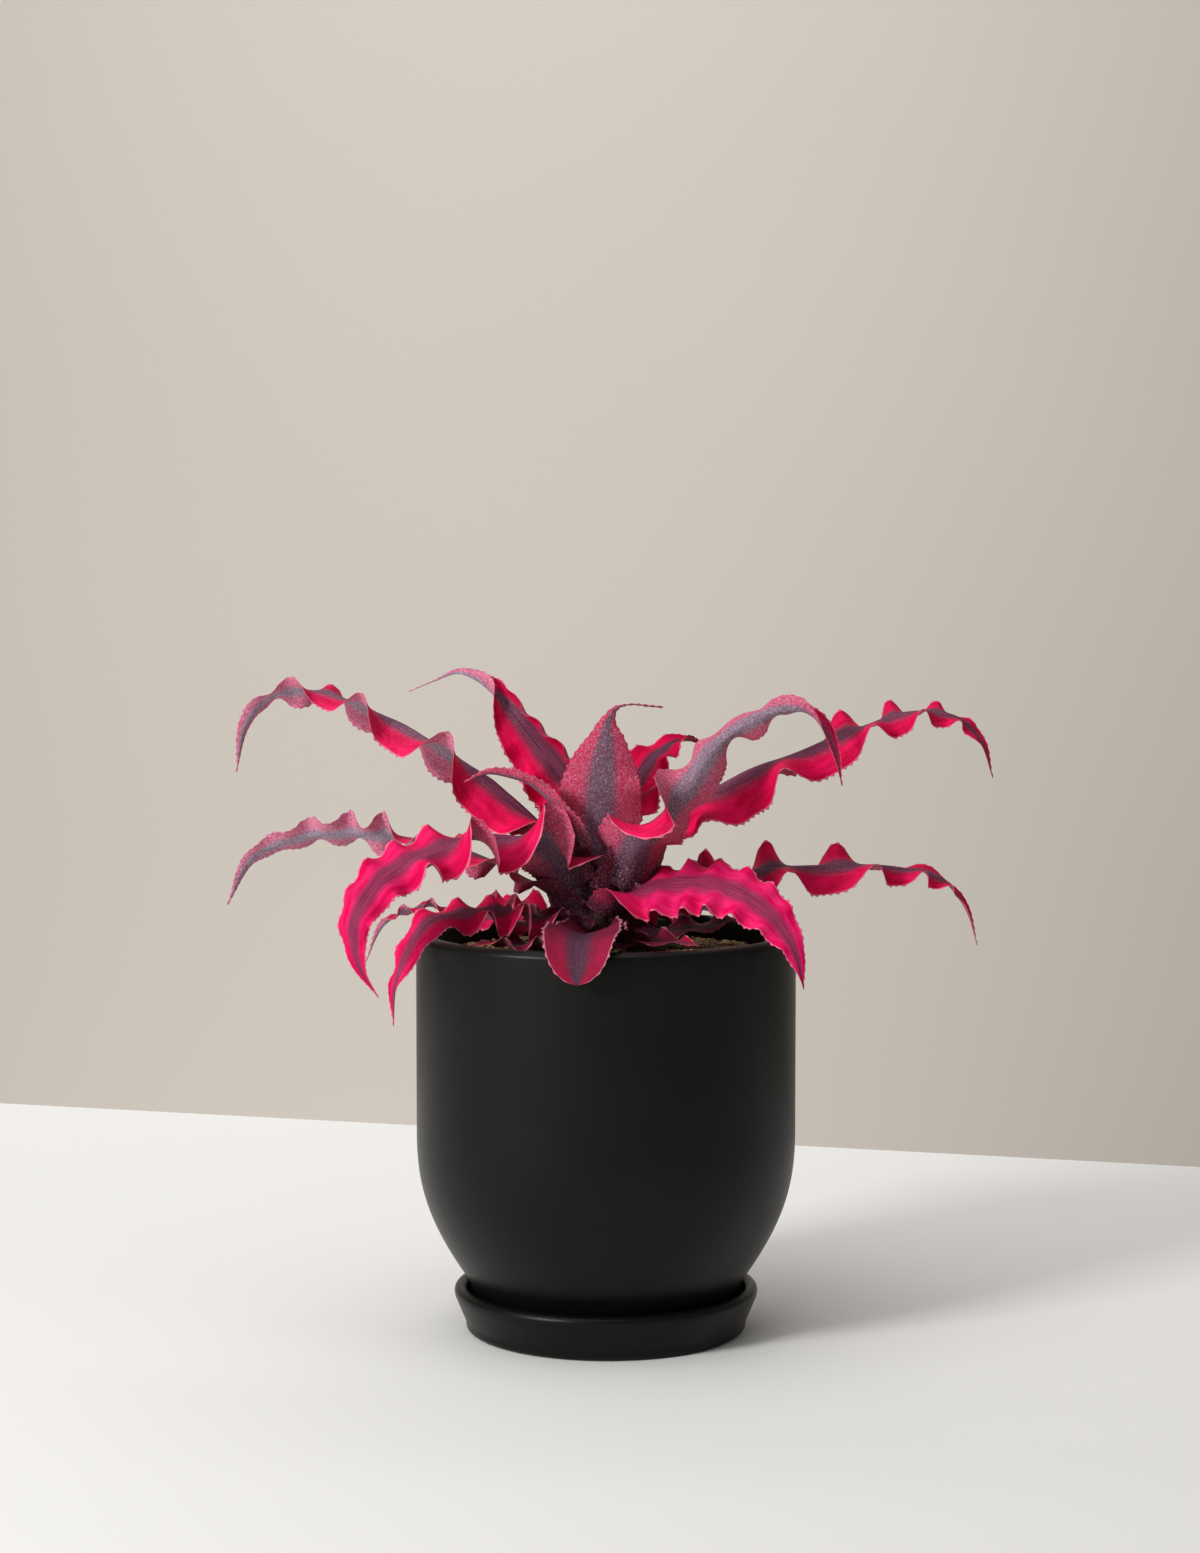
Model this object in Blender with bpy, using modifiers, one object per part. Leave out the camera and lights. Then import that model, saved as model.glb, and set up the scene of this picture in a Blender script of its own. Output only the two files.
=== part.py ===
"""A potted bromeliad: a pink earth star with ruffled leaves in a round-bottomed ceramic pot on a saucer.

Run with: blender --background --python part.py
Metres, +Z up. The origin is the middle of the saucer's underside, where it stands on the table, and the
plant is seen from the -Y side. Each leaf, the stem, the soil, the pot and the saucer is one object.
"""

import bpy
import numpy as np

MM = 0.001
FIT_GAP = 0.3 * MM

# Saucer: a low tray with a flared wall
SAUCER_FOOT_RADIUS = 46.5 * MM
SAUCER_RIM_RADIUS = 51.0 * MM
SAUCER_HEIGHT = 15.3 * MM
SAUCER_WALL = 4.6 * MM
SAUCER_FLOOR = 5.0 * MM
SAUCER_CORNER = 2.0 * MM

# Pot: straight wall over a rounded bottom, with a drain hole
POT_RADIUS = 63.5 * MM
POT_TOP = 134.0 * MM
POT_WALL = 6.0 * MM
POT_FLOOR = 6.0 * MM
POT_BOTTOM = SAUCER_FLOOR + FIT_GAP
POT_FOOT_RADIUS = 42.0 * MM
POT_NECK_RADIUS = 46.2 * MM
POT_NECK_HEIGHT = 17.4 * MM
POT_BELLY_HEIGHT = 67.0 * MM
POT_BELLY_TUCK = 0.2
POT_BELLY_REACH = (0.36, 0.6)
POT_INSIDE_RISE = 3.0 * MM
POT_LIP_SQUASH = 0.8
DRAIN_RADIUS = 6.0 * MM

# Soil: fills the pot to a little under the rim, slightly mounded
SOIL_TOP = 128.0 * MM
SOIL_MOUND = 1.5 * MM
SOIL_GAP = 0.5 * MM
SOIL_BOTTOM = POT_BOTTOM + POT_FLOOR + FIT_GAP

# Stem: the short woody crown that the leaves grow from
CROWN_X = -3.0 * MM
CROWN_FOOT = 129.0 * MM
CROWN_RADIUS = 4.2 * MM
CROWN_HEIGHT = 33.0 * MM

ROUND_STEPS = 40
LEAF_THICKNESS = 0.9 * MM
LEAF_STATIONS = 22
LEAF_CELLS_A_SIDE = 2
LEAF_LEAST_HALF_WIDTH = 0.5
FOOT_WIDTH = 0.2
CLASP_ANGLE = 45
CLASP_ENDS = (0.06, 0.2)
TIP_BLEND = 0.1

# colour, roughness
FINISHES = {
    "matte_black_ceramic": ((0.012, 0.012, 0.012), 0.55),
    "potting_mix": ((0.10, 0.06, 0.03), 0.95),
    "stem_fibre": ((0.12, 0.05, 0.06), 0.8),
    "pink_leaf": ((0.62, 0.02, 0.12), 0.5),
}

# Leaves. Every route is a list of (along, aside, up, roll): millimetres outwards along the leaf's heading,
# to its left and up from the foot of the crown, and degrees that lift its left edge. A heading is the
# compass direction of the leaf, anticlockwise from +X. "left" and "right" say how each half of the blade
# folds along its length: the angle in the troughs, the crests as (share of the length, angle), and how
# narrow the crests are. An angle is positive where the margin stands up over the midrib.
LEAVES = []


def leaf(name, heading, width, route, left, right, **more):
    """Keeps a leaf's measures for add_leaf."""
    spec = dict(name=name, heading=heading, width=width, route=route, left=left, right=right, **more)
    LEAVES.append(spec)


# Long leaves that arch out at the sides
leaf(
    "leaf_upper_left", 170, 15,
    [(6, 0, 20, 0), (15, 0, 36, 0), (27, 0, 48, 0), (48, 0, 63, 0), (76, 0, 78, 0),
     (98, 0, 85, 5), (112, 0, 83, 22), (121, 0, 74, 40), (125, 0, 57, 45)],
    left=([(0, -85), (1, -15)], [(0.12, 20), (0.41, 33), (0.61, 30), (0.76, 35)], 1.9),
    right=(-58, [(0.10, 10), (0.30, -12), (0.51, -12), (0.70, 20), (0.82, 10)], 1.2),
    last=0.78, tip_fold=25, fall=2.6,
)
leaf(
    "leaf_upper_right_far", -5, 17,
    [(7, 0, 17, 0), (14, 0, 32, 5), (27, 0, 44, 12), (47, 0, 57.5, 14), (66, 0, 65, 10),
     (86, 0, 73, 5), (106, 0, 79, 0), (119, 0, 77, 15), (127, 0, 69, 32), (131, 0, 57, 35)],
    left=([(0.3, -50), (0.48, -45), (0.58, -14)],
          [(0.2, -25), (0.41, -30), (0.615, 38), (0.715, 36), (0.805, 30), (0.88, 20)], 2.2),
    right=([(0.16, 5), (0.32, -66)],
           [(0.12, 15), (0.26, -10), (0.465, 0), (0.67, 0), (0.78, 10), (0.86, 15)], 2.0),
    last=0.84, tip_fold=20, fall=2.5,
)
leaf(
    "leaf_right", 8, 15,
    [(6, 0, 9, 0), (15, 0, 14, 0), (35, 0, 21, 0), (56, 0, 25, 0), (80, 0, 26, 0),
     (104, 0, 25, 0), (118, 0, 21, 12), (127, 0, 10, 28), (131, 0, -2, 30)],
    left=(-15, [(0.09, 40), (0.26, 40), (0.40, 42), (0.565, 46), (0.78, 20)], 2.6),
    right=(-72, [(0.22, 0), (0.42, 0), (0.637, 5), (0.76, 10), (0.84, 20)], 1.6),
    last=0.8, tip_fold=30,
)
leaf(
    "leaf_left", 168, 11.5,
    [(6, 0, 10, 0), (13, 0, 15, 0), (30, 0, 25, 0), (44, 0, 31, 0), (64, 0, 35, 15),
     (84, 0, 36, 30), (105, 0, 34, 34), (121, 0, 27, 38), (130, 0, 11, 45)],
    left=([(0, -20), (0.5, -20), (0.6, 0)],
          [(0.05, 40), (0.22, 20), (0.40, 20), (0.52, 40), (0.60, 44), (0.70, 40), (0.80, 30)], 1.5),
    right=([(0, -58), (0.48, -58), (0.6, 0)],
           [(0.1, 40), (0.22, 45), (0.36, 20), (0.50, 0), (0.60, 20), (0.70, 20), (0.80, 10)], 1.5),
    last=0.82, tip_fold=20, fall=3,
)
# Leaves that arch over the front of the pot
leaf(
    "leaf_front_right", -33, 13.5,
    [(6, 0, 10, 5), (11, 0, 16, 8), (32, 0, 23, 12), (55, 0, 21, 16), (68, 0, 13, 22),
     (76, 0, 2, 20), (79, 0, -9, 15)],
    left=(4, [(0.1, 20), (0.2, 18), (0.3, 20), (0.42, 22), (0.53, 20), (0.63, 20), (0.72, 18),
              (0.82, 12)], 1.3),
    right=([(0, -60), (0.5, -42), (1, -12)],
           [(0.04, 60), (0.12, -15), (0.27, -26), (0.40, -22), (0.50, -12), (0.62, -10), (0.74, -5),
            (0.85, 0)], 1.3),
    last=0.9, tip_fold=20, fall=3.2,
)
leaf(
    "leaf_front_left", 214, 14,
    [(6, 0, 9, 0), (9, 0, 20, 0), (15, 0, 31, 0), (27, 0, 37, -4), (49, 0, 38, -6),
     (68, 0, 34, -15), (85, 0, 25, -30), (93, 0, 12, -30), (91, 0, 0, -25), (84, 0, -11, -20)],
    left=([(0, -68), (0.55, -66), (0.7, -35), (1, -20)],
          [(0.08, 50), (0.26, 65), (0.46, 50), (0.60, 15), (0.71, -10), (0.8, -5)], 1.3),
    right=(-8, [(0.15, 0), (0.36, 0), (0.50, 22), (0.60, 18), (0.68, 16), (0.75, 14), (0.82, 10)], 1.3),
    last=0.86, tip_fold=20, fall=3,
)
leaf(
    "leaf_low_front_left", 203, 11,
    [(6, 0, 3, 0), (13, 0, 7, -3), (31, 0, 13, -8), (49, 0, 13, -10), (60, 0, 10.5, -15),
     (67, 0, 1, -20), (71, 0, -9, -15), (72, 0, -23, -10)],
    left=([(0, -50), (0.45, -45), (0.6, -20), (1, -10)],
          [(0.14, 35), (0.28, 28), (0.41, 15), (0.56, -8), (0.70, -5)], 1.3),
    right=(-12, [(0.08, 10), (0.2, 12), (0.33, 16), (0.46, 15), (0.6, 10), (0.74, 10)], 1.3),
    last=0.8, tip_fold=40, fall=2.6,
)
leaf(
    "leaf_low_left", 165, 8,
    [(6, 0, 3, 0), (20, 0, 6, 0), (41, 0, 9, 0), (64, 0, 11, 0), (75, 0, 5, 0), (82, 0, -8, 0)],
    left=(-30, [(0.15, 20), (0.3, 25), (0.45, 32), (0.6, 40), (0.72, 45)], 1.3),
    right=(-20, [(0.2, 25), (0.38, 25), (0.52, 25), (0.66, 20)], 1.3),
    last=0.75, tip_fold=65,
)
# Leaves whose underside faces the front: their upper side faces the compass direction "back"
leaf(
    "leaf_upper_right", -90, 12.5,
    [(8, 8, 20, 0), (11, 11.5, 28, 0), (16.5, 14, 36, 0), (24, 20, 44, 0), (27, 29, 54, 0), (27, 37, 66, 0),
     (26, 45, 73, 0), (26, 53, 77.5, 0), (25, 61, 79.5, 20), (24, 68, 79, 90), (23, 74, 73.5, 140),
     (22, 78, 64.5, 160), (21, 80, 55, 165)],
    left=([(0, 5), (0.3, 25), (0.75, 30)],
          [(0.1, 20), (0.32, 45), (0.56, 82), (0.70, 78), (0.84, 30)], 2.0),
    right=([(0.3, -110), (0.42, 55), (0.6, 68), (0.75, 40), (1, 10)],
           [(0.14, 30), (0.44, 80), (0.54, 78), (0.66, 78), (0.78, 30)], 1.0),
    back=100, last=0.78, tip_fold=25,
)
leaf(
    "leaf_centre", -90, 14,
    [(6, 1, 22, 0), (7, 1, 33, 0), (7.5, 1, 42, 0), (8, 1.5, 56, 0), (7, 3, 69, 0), (6, 4, 76, 0),
     (5.5, 6, 79.5, 0), (5, 11, 81, 0), (4, 17, 80.5, 0), (3, 22, 80, 0)],
    left=(12, [(0.1, 20), (0.45, 5), (0.6, 15)], 1.3),
    right=(12, [(0.1, 20), (0.4, 5), (0.6, 15)], 1.3),
    back=90, last=0.66, tip_fold=20, fall=6, thin=11,
)
# Leaves behind the middle
leaf(
    "leaf_back_left", 150, 16,
    [(6, -4.5, 26, 0), (8, -4.5, 40, 0), (10.5, -5, 52, 0), (17, -3, 60, 0), (25, -2, 69, 0),
     (33, -1, 77.5, 10), (40, 0, 83, 50), (47, 0, 88, 100), (55, 0, 90.5, 125), (64, 0, 88, 125),
     (75, 0, 84, 120)],
    left=([(0, 20), (0.25, -8), (0.5, -12), (0.65, 55)], [(0.2, 15), (0.36, 22), (0.5, 5), (0.8, 70)], 1.6),
    right=([(0, 40), (0.25, 58), (0.5, 66), (0.65, 70)],
           [(0.2, 60), (0.32, 72), (0.42, 76), (0.52, 78)], 1.3),
    back=-90, last=0.6, tip_fold=70, fall=3, thin=3.0,
)
leaf(
    "leaf_back_right_small", 40, 13,
    [(5, 0, 30, 0), (11, 0, 41, 0), (15, 0, 50, 0), (23, 0, 60, 0), (33, 0, 66.5, 0), (41, 0, 67.5, 0),
     (49, 0, 65, 0)],
    left=(10, [(0.2, 40), (0.42, 50), (0.6, 40)], 1.3),
    right=(-20, [(0.2, 20), (0.45, -10), (0.6, 10)], 1.3),
    last=0.75, tip_fold=40,
)
# Young leaves of the heart
leaf(
    "leaf_young_left", 194, 5.5,
    [(8, 11, 34, 0), (11, 10, 40, 0), (15, 9, 45, 0), (20, 8, 51, 0), (25, 7, 55, 0), (32, 6, 57.5, 0),
     (38, 5, 58.5, 0), (46, 4, 55.8, 0)],
    left=(35, [(0.1, 50), (0.5, 40)], 1.3),
    right=(35, [(0.1, 50), (0.5, 40)], 1.3),
    last=0.6, tip_fold=60, fall=3,
)
leaf(
    "leaf_young_spike", -2, 3.4,
    [(5, -2, 34, 0), (12, -2, 45, 0), (17, -2, 51, 0), (25, -1, 57, 0)],
    left=(25, [(0.1, 30), (0.5, 25)], 1.3),
    right=(25, [(0.1, 30), (0.5, 25)], 1.3),
    tip_fold=20,
)
# Short and low leaves at the foot of the plant
leaf(
    "leaf_over_front_rim", -95, 12.5,
    [(6, 0, 3, 0), (20, 0, 5, 0), (40, 0, 8, 0), (55, 0, 9.5, 0), (64, 0, 8, 0), (69, 0, 2, 0),
     (71, 0, -4, 0)],
    left=(10, [(0.3, 25), (0.6, 20), (0.85, 15)], 1.3),
    right=(10, [(0.2, 25), (0.5, 20), (0.8, 15)], 1.3),
    last=0.95, tip_fold=10, fall=9, thin=0.6,
)
leaf(
    "leaf_soil_right", 6, 8,
    [(6, 0, 2, 0), (20, 0, 4, 0), (36, 0, 6, 0), (50, 0, 8, 0), (55, 0, 7, 0)],
    left=(0, [(0.2, 30), (0.5, 30), (0.75, 30)], 1.3),
    right=(-15, [(0.2, 0), (0.5, 0), (0.8, 10)], 1.3),
    last=0.9, tip_fold=10, fall=4,
)
leaf(
    "leaf_soil_front_right", -46, 8,
    [(6, 0, 1, 0), (20, 0, 2, 0), (34, 0, 4, 0), (48, 0, 4, 0)],
    left=(0, [(0.2, 30), (0.5, 50), (0.8, 40)], 1.3),
    right=(-5, [(0.2, 10), (0.5, 10), (0.8, 10)], 1.3),
    last=0.9, tip_fold=10, fall=3,
)
leaf(
    "leaf_soil_left", 215, 9,
    [(6, 0, 0, 0), (20, 0, 1, 0), (36, 0, 2.5, 0), (46, 0, 4, 0), (52, 0, 3, 0)],
    left=(-10, [(0.2, 10), (0.5, 30), (0.75, 30)], 1.3),
    right=(-10, [(0.2, 30), (0.5, 30), (0.8, 10)], 1.3),
    last=0.9, tip_fold=20, fall=3,
)
# Leaves at the back of the plant
leaf(
    "leaf_back", 84, 13,
    [(6, 0, 16, 0), (14, 0, 30, 0), (28, 0, 42, 0), (50, 0, 50, 0), (74, 0, 50, 0), (96, 0, 42, 0),
     (108, 0, 30, 0)],
    left=(-30, [(0.15, 20), (0.34, 40), (0.52, 45), (0.70, 40)], 1.5),
    right=(-30, [(0.24, 30), (0.43, 45), (0.61, 45), (0.78, 40)], 1.5),
)
leaf(
    "leaf_back_low_right", 58, 11,
    [(6, 0, 4, 0), (20, 0, 7, 0), (42, 0, 9, 0), (62, 0, 10, 0), (78, 0, 4, 0), (86, 0, -6, 0)],
    left=(-20, [(0.15, 20), (0.34, 40), (0.52, 45), (0.70, 40)], 1.5),
    right=(-20, [(0.24, 30), (0.43, 45), (0.61, 45), (0.78, 40)], 1.5),
)
leaf(
    "leaf_back_low_left", 122, 11,
    [(6, 0, 3, 0), (20, 0, 6, 0), (42, 0, 8, 0), (62, 0, 9, 0), (78, 0, 2, 0), (86, 0, -9, 0)],
    left=(-20, [(0.24, 30), (0.43, 45), (0.61, 45), (0.78, 40)], 1.5),
    right=(-20, [(0.15, 20), (0.34, 40), (0.52, 45), (0.70, 40)], 1.5),
)


def arc(centre, radius, start, end, points, squash=1.0):
    """Points (r, z) along a circle's arc, from start to end in degrees, its height scaled by squash."""
    turn = np.radians(np.linspace(start, end, points))
    return [(centre[0] + radius * np.cos(a), centre[1] + squash * radius * np.sin(a)) for a in turn]


def belly(inset, rise, points):
    """The rounded lower wall from its top to the neck over the foot: a Bezier curve, moved in and up."""
    t = np.linspace(0, 1, points)
    weights = ((1 - t) ** 3, 3 * t * (1 - t) ** 2, 3 * t**2 * (1 - t), t**3)
    drop = POT_BELLY_HEIGHT - POT_NECK_HEIGHT
    tuck = POT_RADIUS - POT_NECK_RADIUS
    radius = POT_RADIUS - tuck * (POT_BELLY_TUCK * weights[2] + weights[3])
    fall = POT_BELLY_REACH[0] * weights[1] + POT_BELLY_REACH[1] * weights[2] + weights[3]
    height = POT_BELLY_HEIGHT - drop * fall
    return list(zip(radius - inset, height + rise * t))


def saucer_profile():
    """Outline of the tray from the middle of its floor, over the rim and down its outer side."""
    slope = (SAUCER_RIM_RADIUS - SAUCER_FOOT_RADIUS) / SAUCER_HEIGHT
    lip = SAUCER_WALL / 2
    lip_centre = (SAUCER_RIM_RADIUS - lip, SAUCER_HEIGHT - lip)
    foot_centre = (SAUCER_FOOT_RADIUS - SAUCER_CORNER + slope * SAUCER_CORNER, SAUCER_CORNER)
    inner_foot = lip_centre[0] - lip - slope * (SAUCER_HEIGHT - lip - SAUCER_FLOOR)
    outline = [(0.0, SAUCER_FLOOR), (inner_foot, SAUCER_FLOOR)]
    outline += arc(lip_centre, lip, 180, 0, 7)
    outline += arc(foot_centre, SAUCER_CORNER, 0, -90, 4)
    outline += [(0.0, 0.0)]
    return outline


def pot_profile():
    """Closed outline of the pot's wall and holed floor, from the lip down its outer side and back."""
    lip = POT_WALL / 2
    lip_centre = (POT_RADIUS - lip, POT_TOP - lip * POT_LIP_SQUASH)
    floor_top = POT_BOTTOM + POT_FLOOR
    outline = arc(lip_centre, lip, 90, 0, 4, POT_LIP_SQUASH)
    outline += belly(0, 0, 9)
    outline += [(POT_FOOT_RADIUS, POT_BOTTOM), (DRAIN_RADIUS, POT_BOTTOM), (DRAIN_RADIUS, floor_top)]
    outline += [(POT_FOOT_RADIUS - POT_WALL, floor_top)]
    outline += belly(POT_WALL, POT_INSIDE_RISE, 6)[::-1]
    outline += arc(lip_centre, lip, 180, 120, 3, POT_LIP_SQUASH)
    return outline


def soil_profile():
    """Outline of the soil, from the middle of its top out to the wall, down it and back to the axis."""
    wall = POT_RADIUS - POT_WALL - SOIL_GAP
    mound = [(wall * share, SOIL_TOP - SOIL_MOUND * share**2) for share in (0.0, 0.5, 0.85, 1.0)]
    lower_wall = belly(POT_WALL + SOIL_GAP, POT_INSIDE_RISE, 6)
    foot = POT_FOOT_RADIUS - POT_WALL - 2 * SOIL_GAP
    return mound + lower_wall + [(foot, SOIL_BOTTOM), (0.0, SOIL_BOTTOM)]


def crown_profile():
    """Outline of the stem: a stout foot that tapers to a round tip."""
    share = np.linspace(0, 1, 7)
    radius = CROWN_RADIUS * np.sqrt(1 - share**2.5)
    height = CROWN_FOOT + CROWN_HEIGHT * share
    return list(zip(radius, height))[::-1] + [(0.0, CROWN_FOOT)]


def finish(name):
    """A Principled material with the finish's colour and roughness."""
    if name in bpy.data.materials:
        return bpy.data.materials[name]
    colour, roughness = FINISHES[name]
    material = bpy.data.materials.new(name)
    material.use_nodes = True
    shader = material.node_tree.nodes["Principled BSDF"]
    shader.inputs["Base Color"].default_value = (*colour, 1)
    shader.inputs["Roughness"].default_value = roughness
    return material


def add_object(name, points, edges, faces, finish_name):
    """An object of these points in the plant's collection."""
    mesh = bpy.data.meshes.new(name)
    mesh.from_pydata(points, edges, faces)
    mesh.materials.append(finish(finish_name))
    obj = bpy.data.objects.new(name, mesh)
    plant.objects.link(obj)
    return obj


def turned(name, profile, closed, steps, finish_name):
    """A solid of revolution: the profile (r, z) with a Screw modifier around Z."""
    points = [(r, 0.0, z) for r, z in profile]
    edges = [(i, i + 1) for i in range(len(points) - 1)]
    if closed:
        edges.append((len(points) - 1, 0))
    obj = add_object(name, points, edges, [], finish_name)
    screw = obj.modifiers.new("Screw", "SCREW")
    screw.steps = steps
    screw.render_steps = steps
    screw.use_merge_vertices = True
    screw.merge_threshold = 0.00001
    screw.use_smooth_shade = True
    return obj


def smooth_route(knots, share):
    """Points of a smooth curve through the knots, at these shares of its length (cubic Hermite)."""
    knots = np.asarray(knots, float)
    steps = np.linalg.norm(np.diff(knots[:, :3], axis=0), axis=1)
    reach = np.concatenate(([0], np.cumsum(steps)))
    slope = np.gradient(knots, reach, axis=0)
    at = np.asarray(share) * reach[-1]
    i = np.clip(np.searchsorted(reach, at, side="right") - 1, 0, len(reach) - 2)
    gap = (reach[i + 1] - reach[i])[:, None]
    s = (at - reach[i])[:, None] / gap
    start = (2 * s**3 - 3 * s**2 + 1) * knots[i] + (s**3 - 2 * s**2 + s) * gap * slope[i]
    end = (3 * s**2 - 2 * s**3) * knots[i + 1] + (s**3 - s**2) * gap * slope[i + 1]
    return start + end


def ramp(value, low, high):
    """0 below low, 1 above high, and a smooth step between them."""
    s = np.clip((value - low) / (high - low), 0, 1)
    return s * s * (3 - 2 * s)


def half_width(share, spec):
    """Width of half the blade along the leaf: narrow at the foot, full early on, then tapering."""
    taper = (1 - share ** spec.get("fall", 2.2)) ** spec.get("thin", 1.25)
    opening = FOOT_WIDTH + (1 - FOOT_WIDTH) * ramp(share, 0.0, spec.get("open", 0.3))
    return np.maximum(spec["width"] * taper * opening, LEAF_LEAST_HALF_WIDTH)


def fold_angle(share, side, spec):
    """Fold of half the blade in degrees: clasping at the foot, ruffled, and folded at the tip."""
    troughs, crests, narrow = side
    places = np.array([place for place, _ in crests])
    heights = np.array([height for _, height in crests], float)
    ends = np.concatenate(([2 * places[0] - places[1]], places, [2 * places[-1] - places[-2]]))
    turn = np.interp(share, ends, np.arange(len(ends)))
    crest = (0.5 + 0.5 * np.cos(2 * np.pi * turn)) ** narrow
    if isinstance(troughs, list):
        stops, angles = zip(*troughs)
        trough = np.interp(share, stops, angles)
    else:
        trough = troughs
    angle = trough + (np.interp(share, places, heights) - trough) * crest
    foot = 1 - ramp(share, *CLASP_ENDS)
    last = spec.get("last", 0.84)
    tip = ramp(share, last, last + TIP_BLEND)
    angle = CLASP_ANGLE * foot + angle * (1 - foot)
    return angle * (1 - tip) + spec.get("tip_fold", 60) * tip


def leaf_frame(spec, share):
    """Midrib points with the side and upper directions across it, as arrays."""
    route = smooth_route(spec["route"], share)
    heading = np.radians(spec["heading"])
    along = np.array([np.cos(heading), np.sin(heading), 0])
    aside = np.array([-np.sin(heading), np.cos(heading), 0])
    up = np.array([0, 0, 1.0])
    midrib = route[:, :1] * along + route[:, 1:2] * aside + route[:, 2:3] * up
    tangent = np.gradient(midrib, axis=0)
    tangent /= np.linalg.norm(tangent, axis=1)[:, None]
    if "back" in spec:
        back = np.radians(spec["back"])
        facing = np.array([np.cos(back), np.sin(back), 0])
        upper = facing - (tangent @ facing)[:, None] * tangent
        upper /= np.linalg.norm(upper, axis=1)[:, None]
        side = np.cross(upper, tangent)
    else:
        side = aside - (tangent @ aside)[:, None] * tangent
        side /= np.linalg.norm(side, axis=1)[:, None]
        upper = np.cross(tangent, side)
    roll = np.radians(route[:, 3:4])
    rolled = side * np.cos(roll) + upper * np.sin(roll)
    return midrib, rolled, upper * np.cos(roll) - side * np.sin(roll)


def blade(spec, share, cells):
    """The leaf as one sheet of points (station, place across, xyz) in millimetres from the crown's foot.

    Each half is an arc that leaves the midrib at half its fold angle and reaches one and a half times it
    at the margin, so the margin ruffles while the midrib stays smooth.
    """
    midrib, side, upper = leaf_frame(spec, share)
    width = half_width(share, spec)[:, None]
    across = (np.arange(cells) + 0.5) / cells
    halves = []
    for hand, folds in ((1, spec["left"]), (-1, spec["right"])):
        slope = np.radians(fold_angle(share, folds, spec))[:, None] * (0.5 + across)
        out = np.cumsum(np.cos(slope), axis=1) * width / cells
        lift = np.cumsum(np.sin(slope), axis=1) * width / cells
        beside = hand * side[:, None] * out[..., None]
        halves.append(midrib[:, None] + beside + upper[:, None] * lift[..., None])
    left, right = halves
    return np.concatenate([right[:, ::-1], midrib[:, None], left], axis=1)


def grid_faces(rows, columns):
    """Four-sided faces of a grid of points, their normals towards the leaf's upper side."""
    corner = np.arange((rows - 1) * columns).reshape(rows - 1, columns)[:, :-1].ravel()
    return np.stack([corner, corner + columns, corner + columns + 1, corner + 1], axis=1)


def add_leaf(spec):
    """One leaf: its sheet with a Solidify modifier for its thickness."""
    share = np.linspace(0, 1, LEAF_STATIONS)
    sheet = blade(spec, share, LEAF_CELLS_A_SIDE) * MM
    sheet += np.array([CROWN_X, 0, CROWN_FOOT])
    faces = grid_faces(*sheet.shape[:2]).tolist()
    obj = add_object(spec["name"], sheet.reshape(-1, 3).tolist(), [], faces, "pink_leaf")
    thickness = obj.modifiers.new("Thickness", "SOLIDIFY")
    thickness.thickness = LEAF_THICKNESS
    thickness.offset = 0
    return obj


def main():
    turned("saucer", saucer_profile(), False, ROUND_STEPS, "matte_black_ceramic")
    turned("pot", pot_profile(), True, ROUND_STEPS, "matte_black_ceramic")
    turned("potting_soil", soil_profile(), False, ROUND_STEPS, "potting_mix")
    crown = turned("crown_stem", crown_profile(), False, ROUND_STEPS // 2, "stem_fibre")
    crown.location.x = CROWN_X
    for spec in LEAVES:
        add_leaf(spec)


for old in list(bpy.data.objects):
    bpy.data.objects.remove(old)
plant = bpy.data.collections.new("potted_bromeliad")
bpy.context.scene.collection.children.link(plant)
main()
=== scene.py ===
# %% [markdown]
# # A potted earth star
# An earth star is a small bromeliad. Its leaves grow in a low rosette from one short stem, and each leaf is
# stiff, wavy and finely toothed along its margins. This one is pink, in a matte black pot on a saucer.
# Every piece is fitted to a plain solid model of the same plant, so the first step is to load that model
# and to keep its box, because the finished plant has to be the same size.

import bpy
import numpy as np
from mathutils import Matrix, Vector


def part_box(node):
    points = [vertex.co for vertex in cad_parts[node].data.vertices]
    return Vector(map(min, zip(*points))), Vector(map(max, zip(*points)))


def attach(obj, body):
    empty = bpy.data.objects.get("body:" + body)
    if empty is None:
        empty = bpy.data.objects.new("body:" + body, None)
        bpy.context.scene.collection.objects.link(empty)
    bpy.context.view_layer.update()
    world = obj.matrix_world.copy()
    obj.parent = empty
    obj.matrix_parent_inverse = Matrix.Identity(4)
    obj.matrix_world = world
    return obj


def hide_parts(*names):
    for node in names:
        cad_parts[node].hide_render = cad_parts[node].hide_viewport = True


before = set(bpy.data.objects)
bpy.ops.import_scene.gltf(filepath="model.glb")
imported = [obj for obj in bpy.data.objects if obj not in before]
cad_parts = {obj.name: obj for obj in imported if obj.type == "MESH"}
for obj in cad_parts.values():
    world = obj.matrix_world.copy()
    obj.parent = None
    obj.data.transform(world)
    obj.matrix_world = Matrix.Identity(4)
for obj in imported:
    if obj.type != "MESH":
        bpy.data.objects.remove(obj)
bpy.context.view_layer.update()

# %% [markdown]
# ## The view
# The plant is looked at from the front, from a little above the pot's rim, so that the soil shows as a thin
# band and the saucer as a shallow ellipse. A long lens from about a metre keeps the pot's sides upright.
# The camera's height and distance are measured from the middle of the saucer's underside.

# %% Place the camera
CAMERA_PLACE = (-0.002, -0.963, 0.243)
CAMERA_TILT_DOWN = 3.4
CAMERA_LENS_MM = 67.0
CAMERA_SENSOR_MM = 36.0

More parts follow.
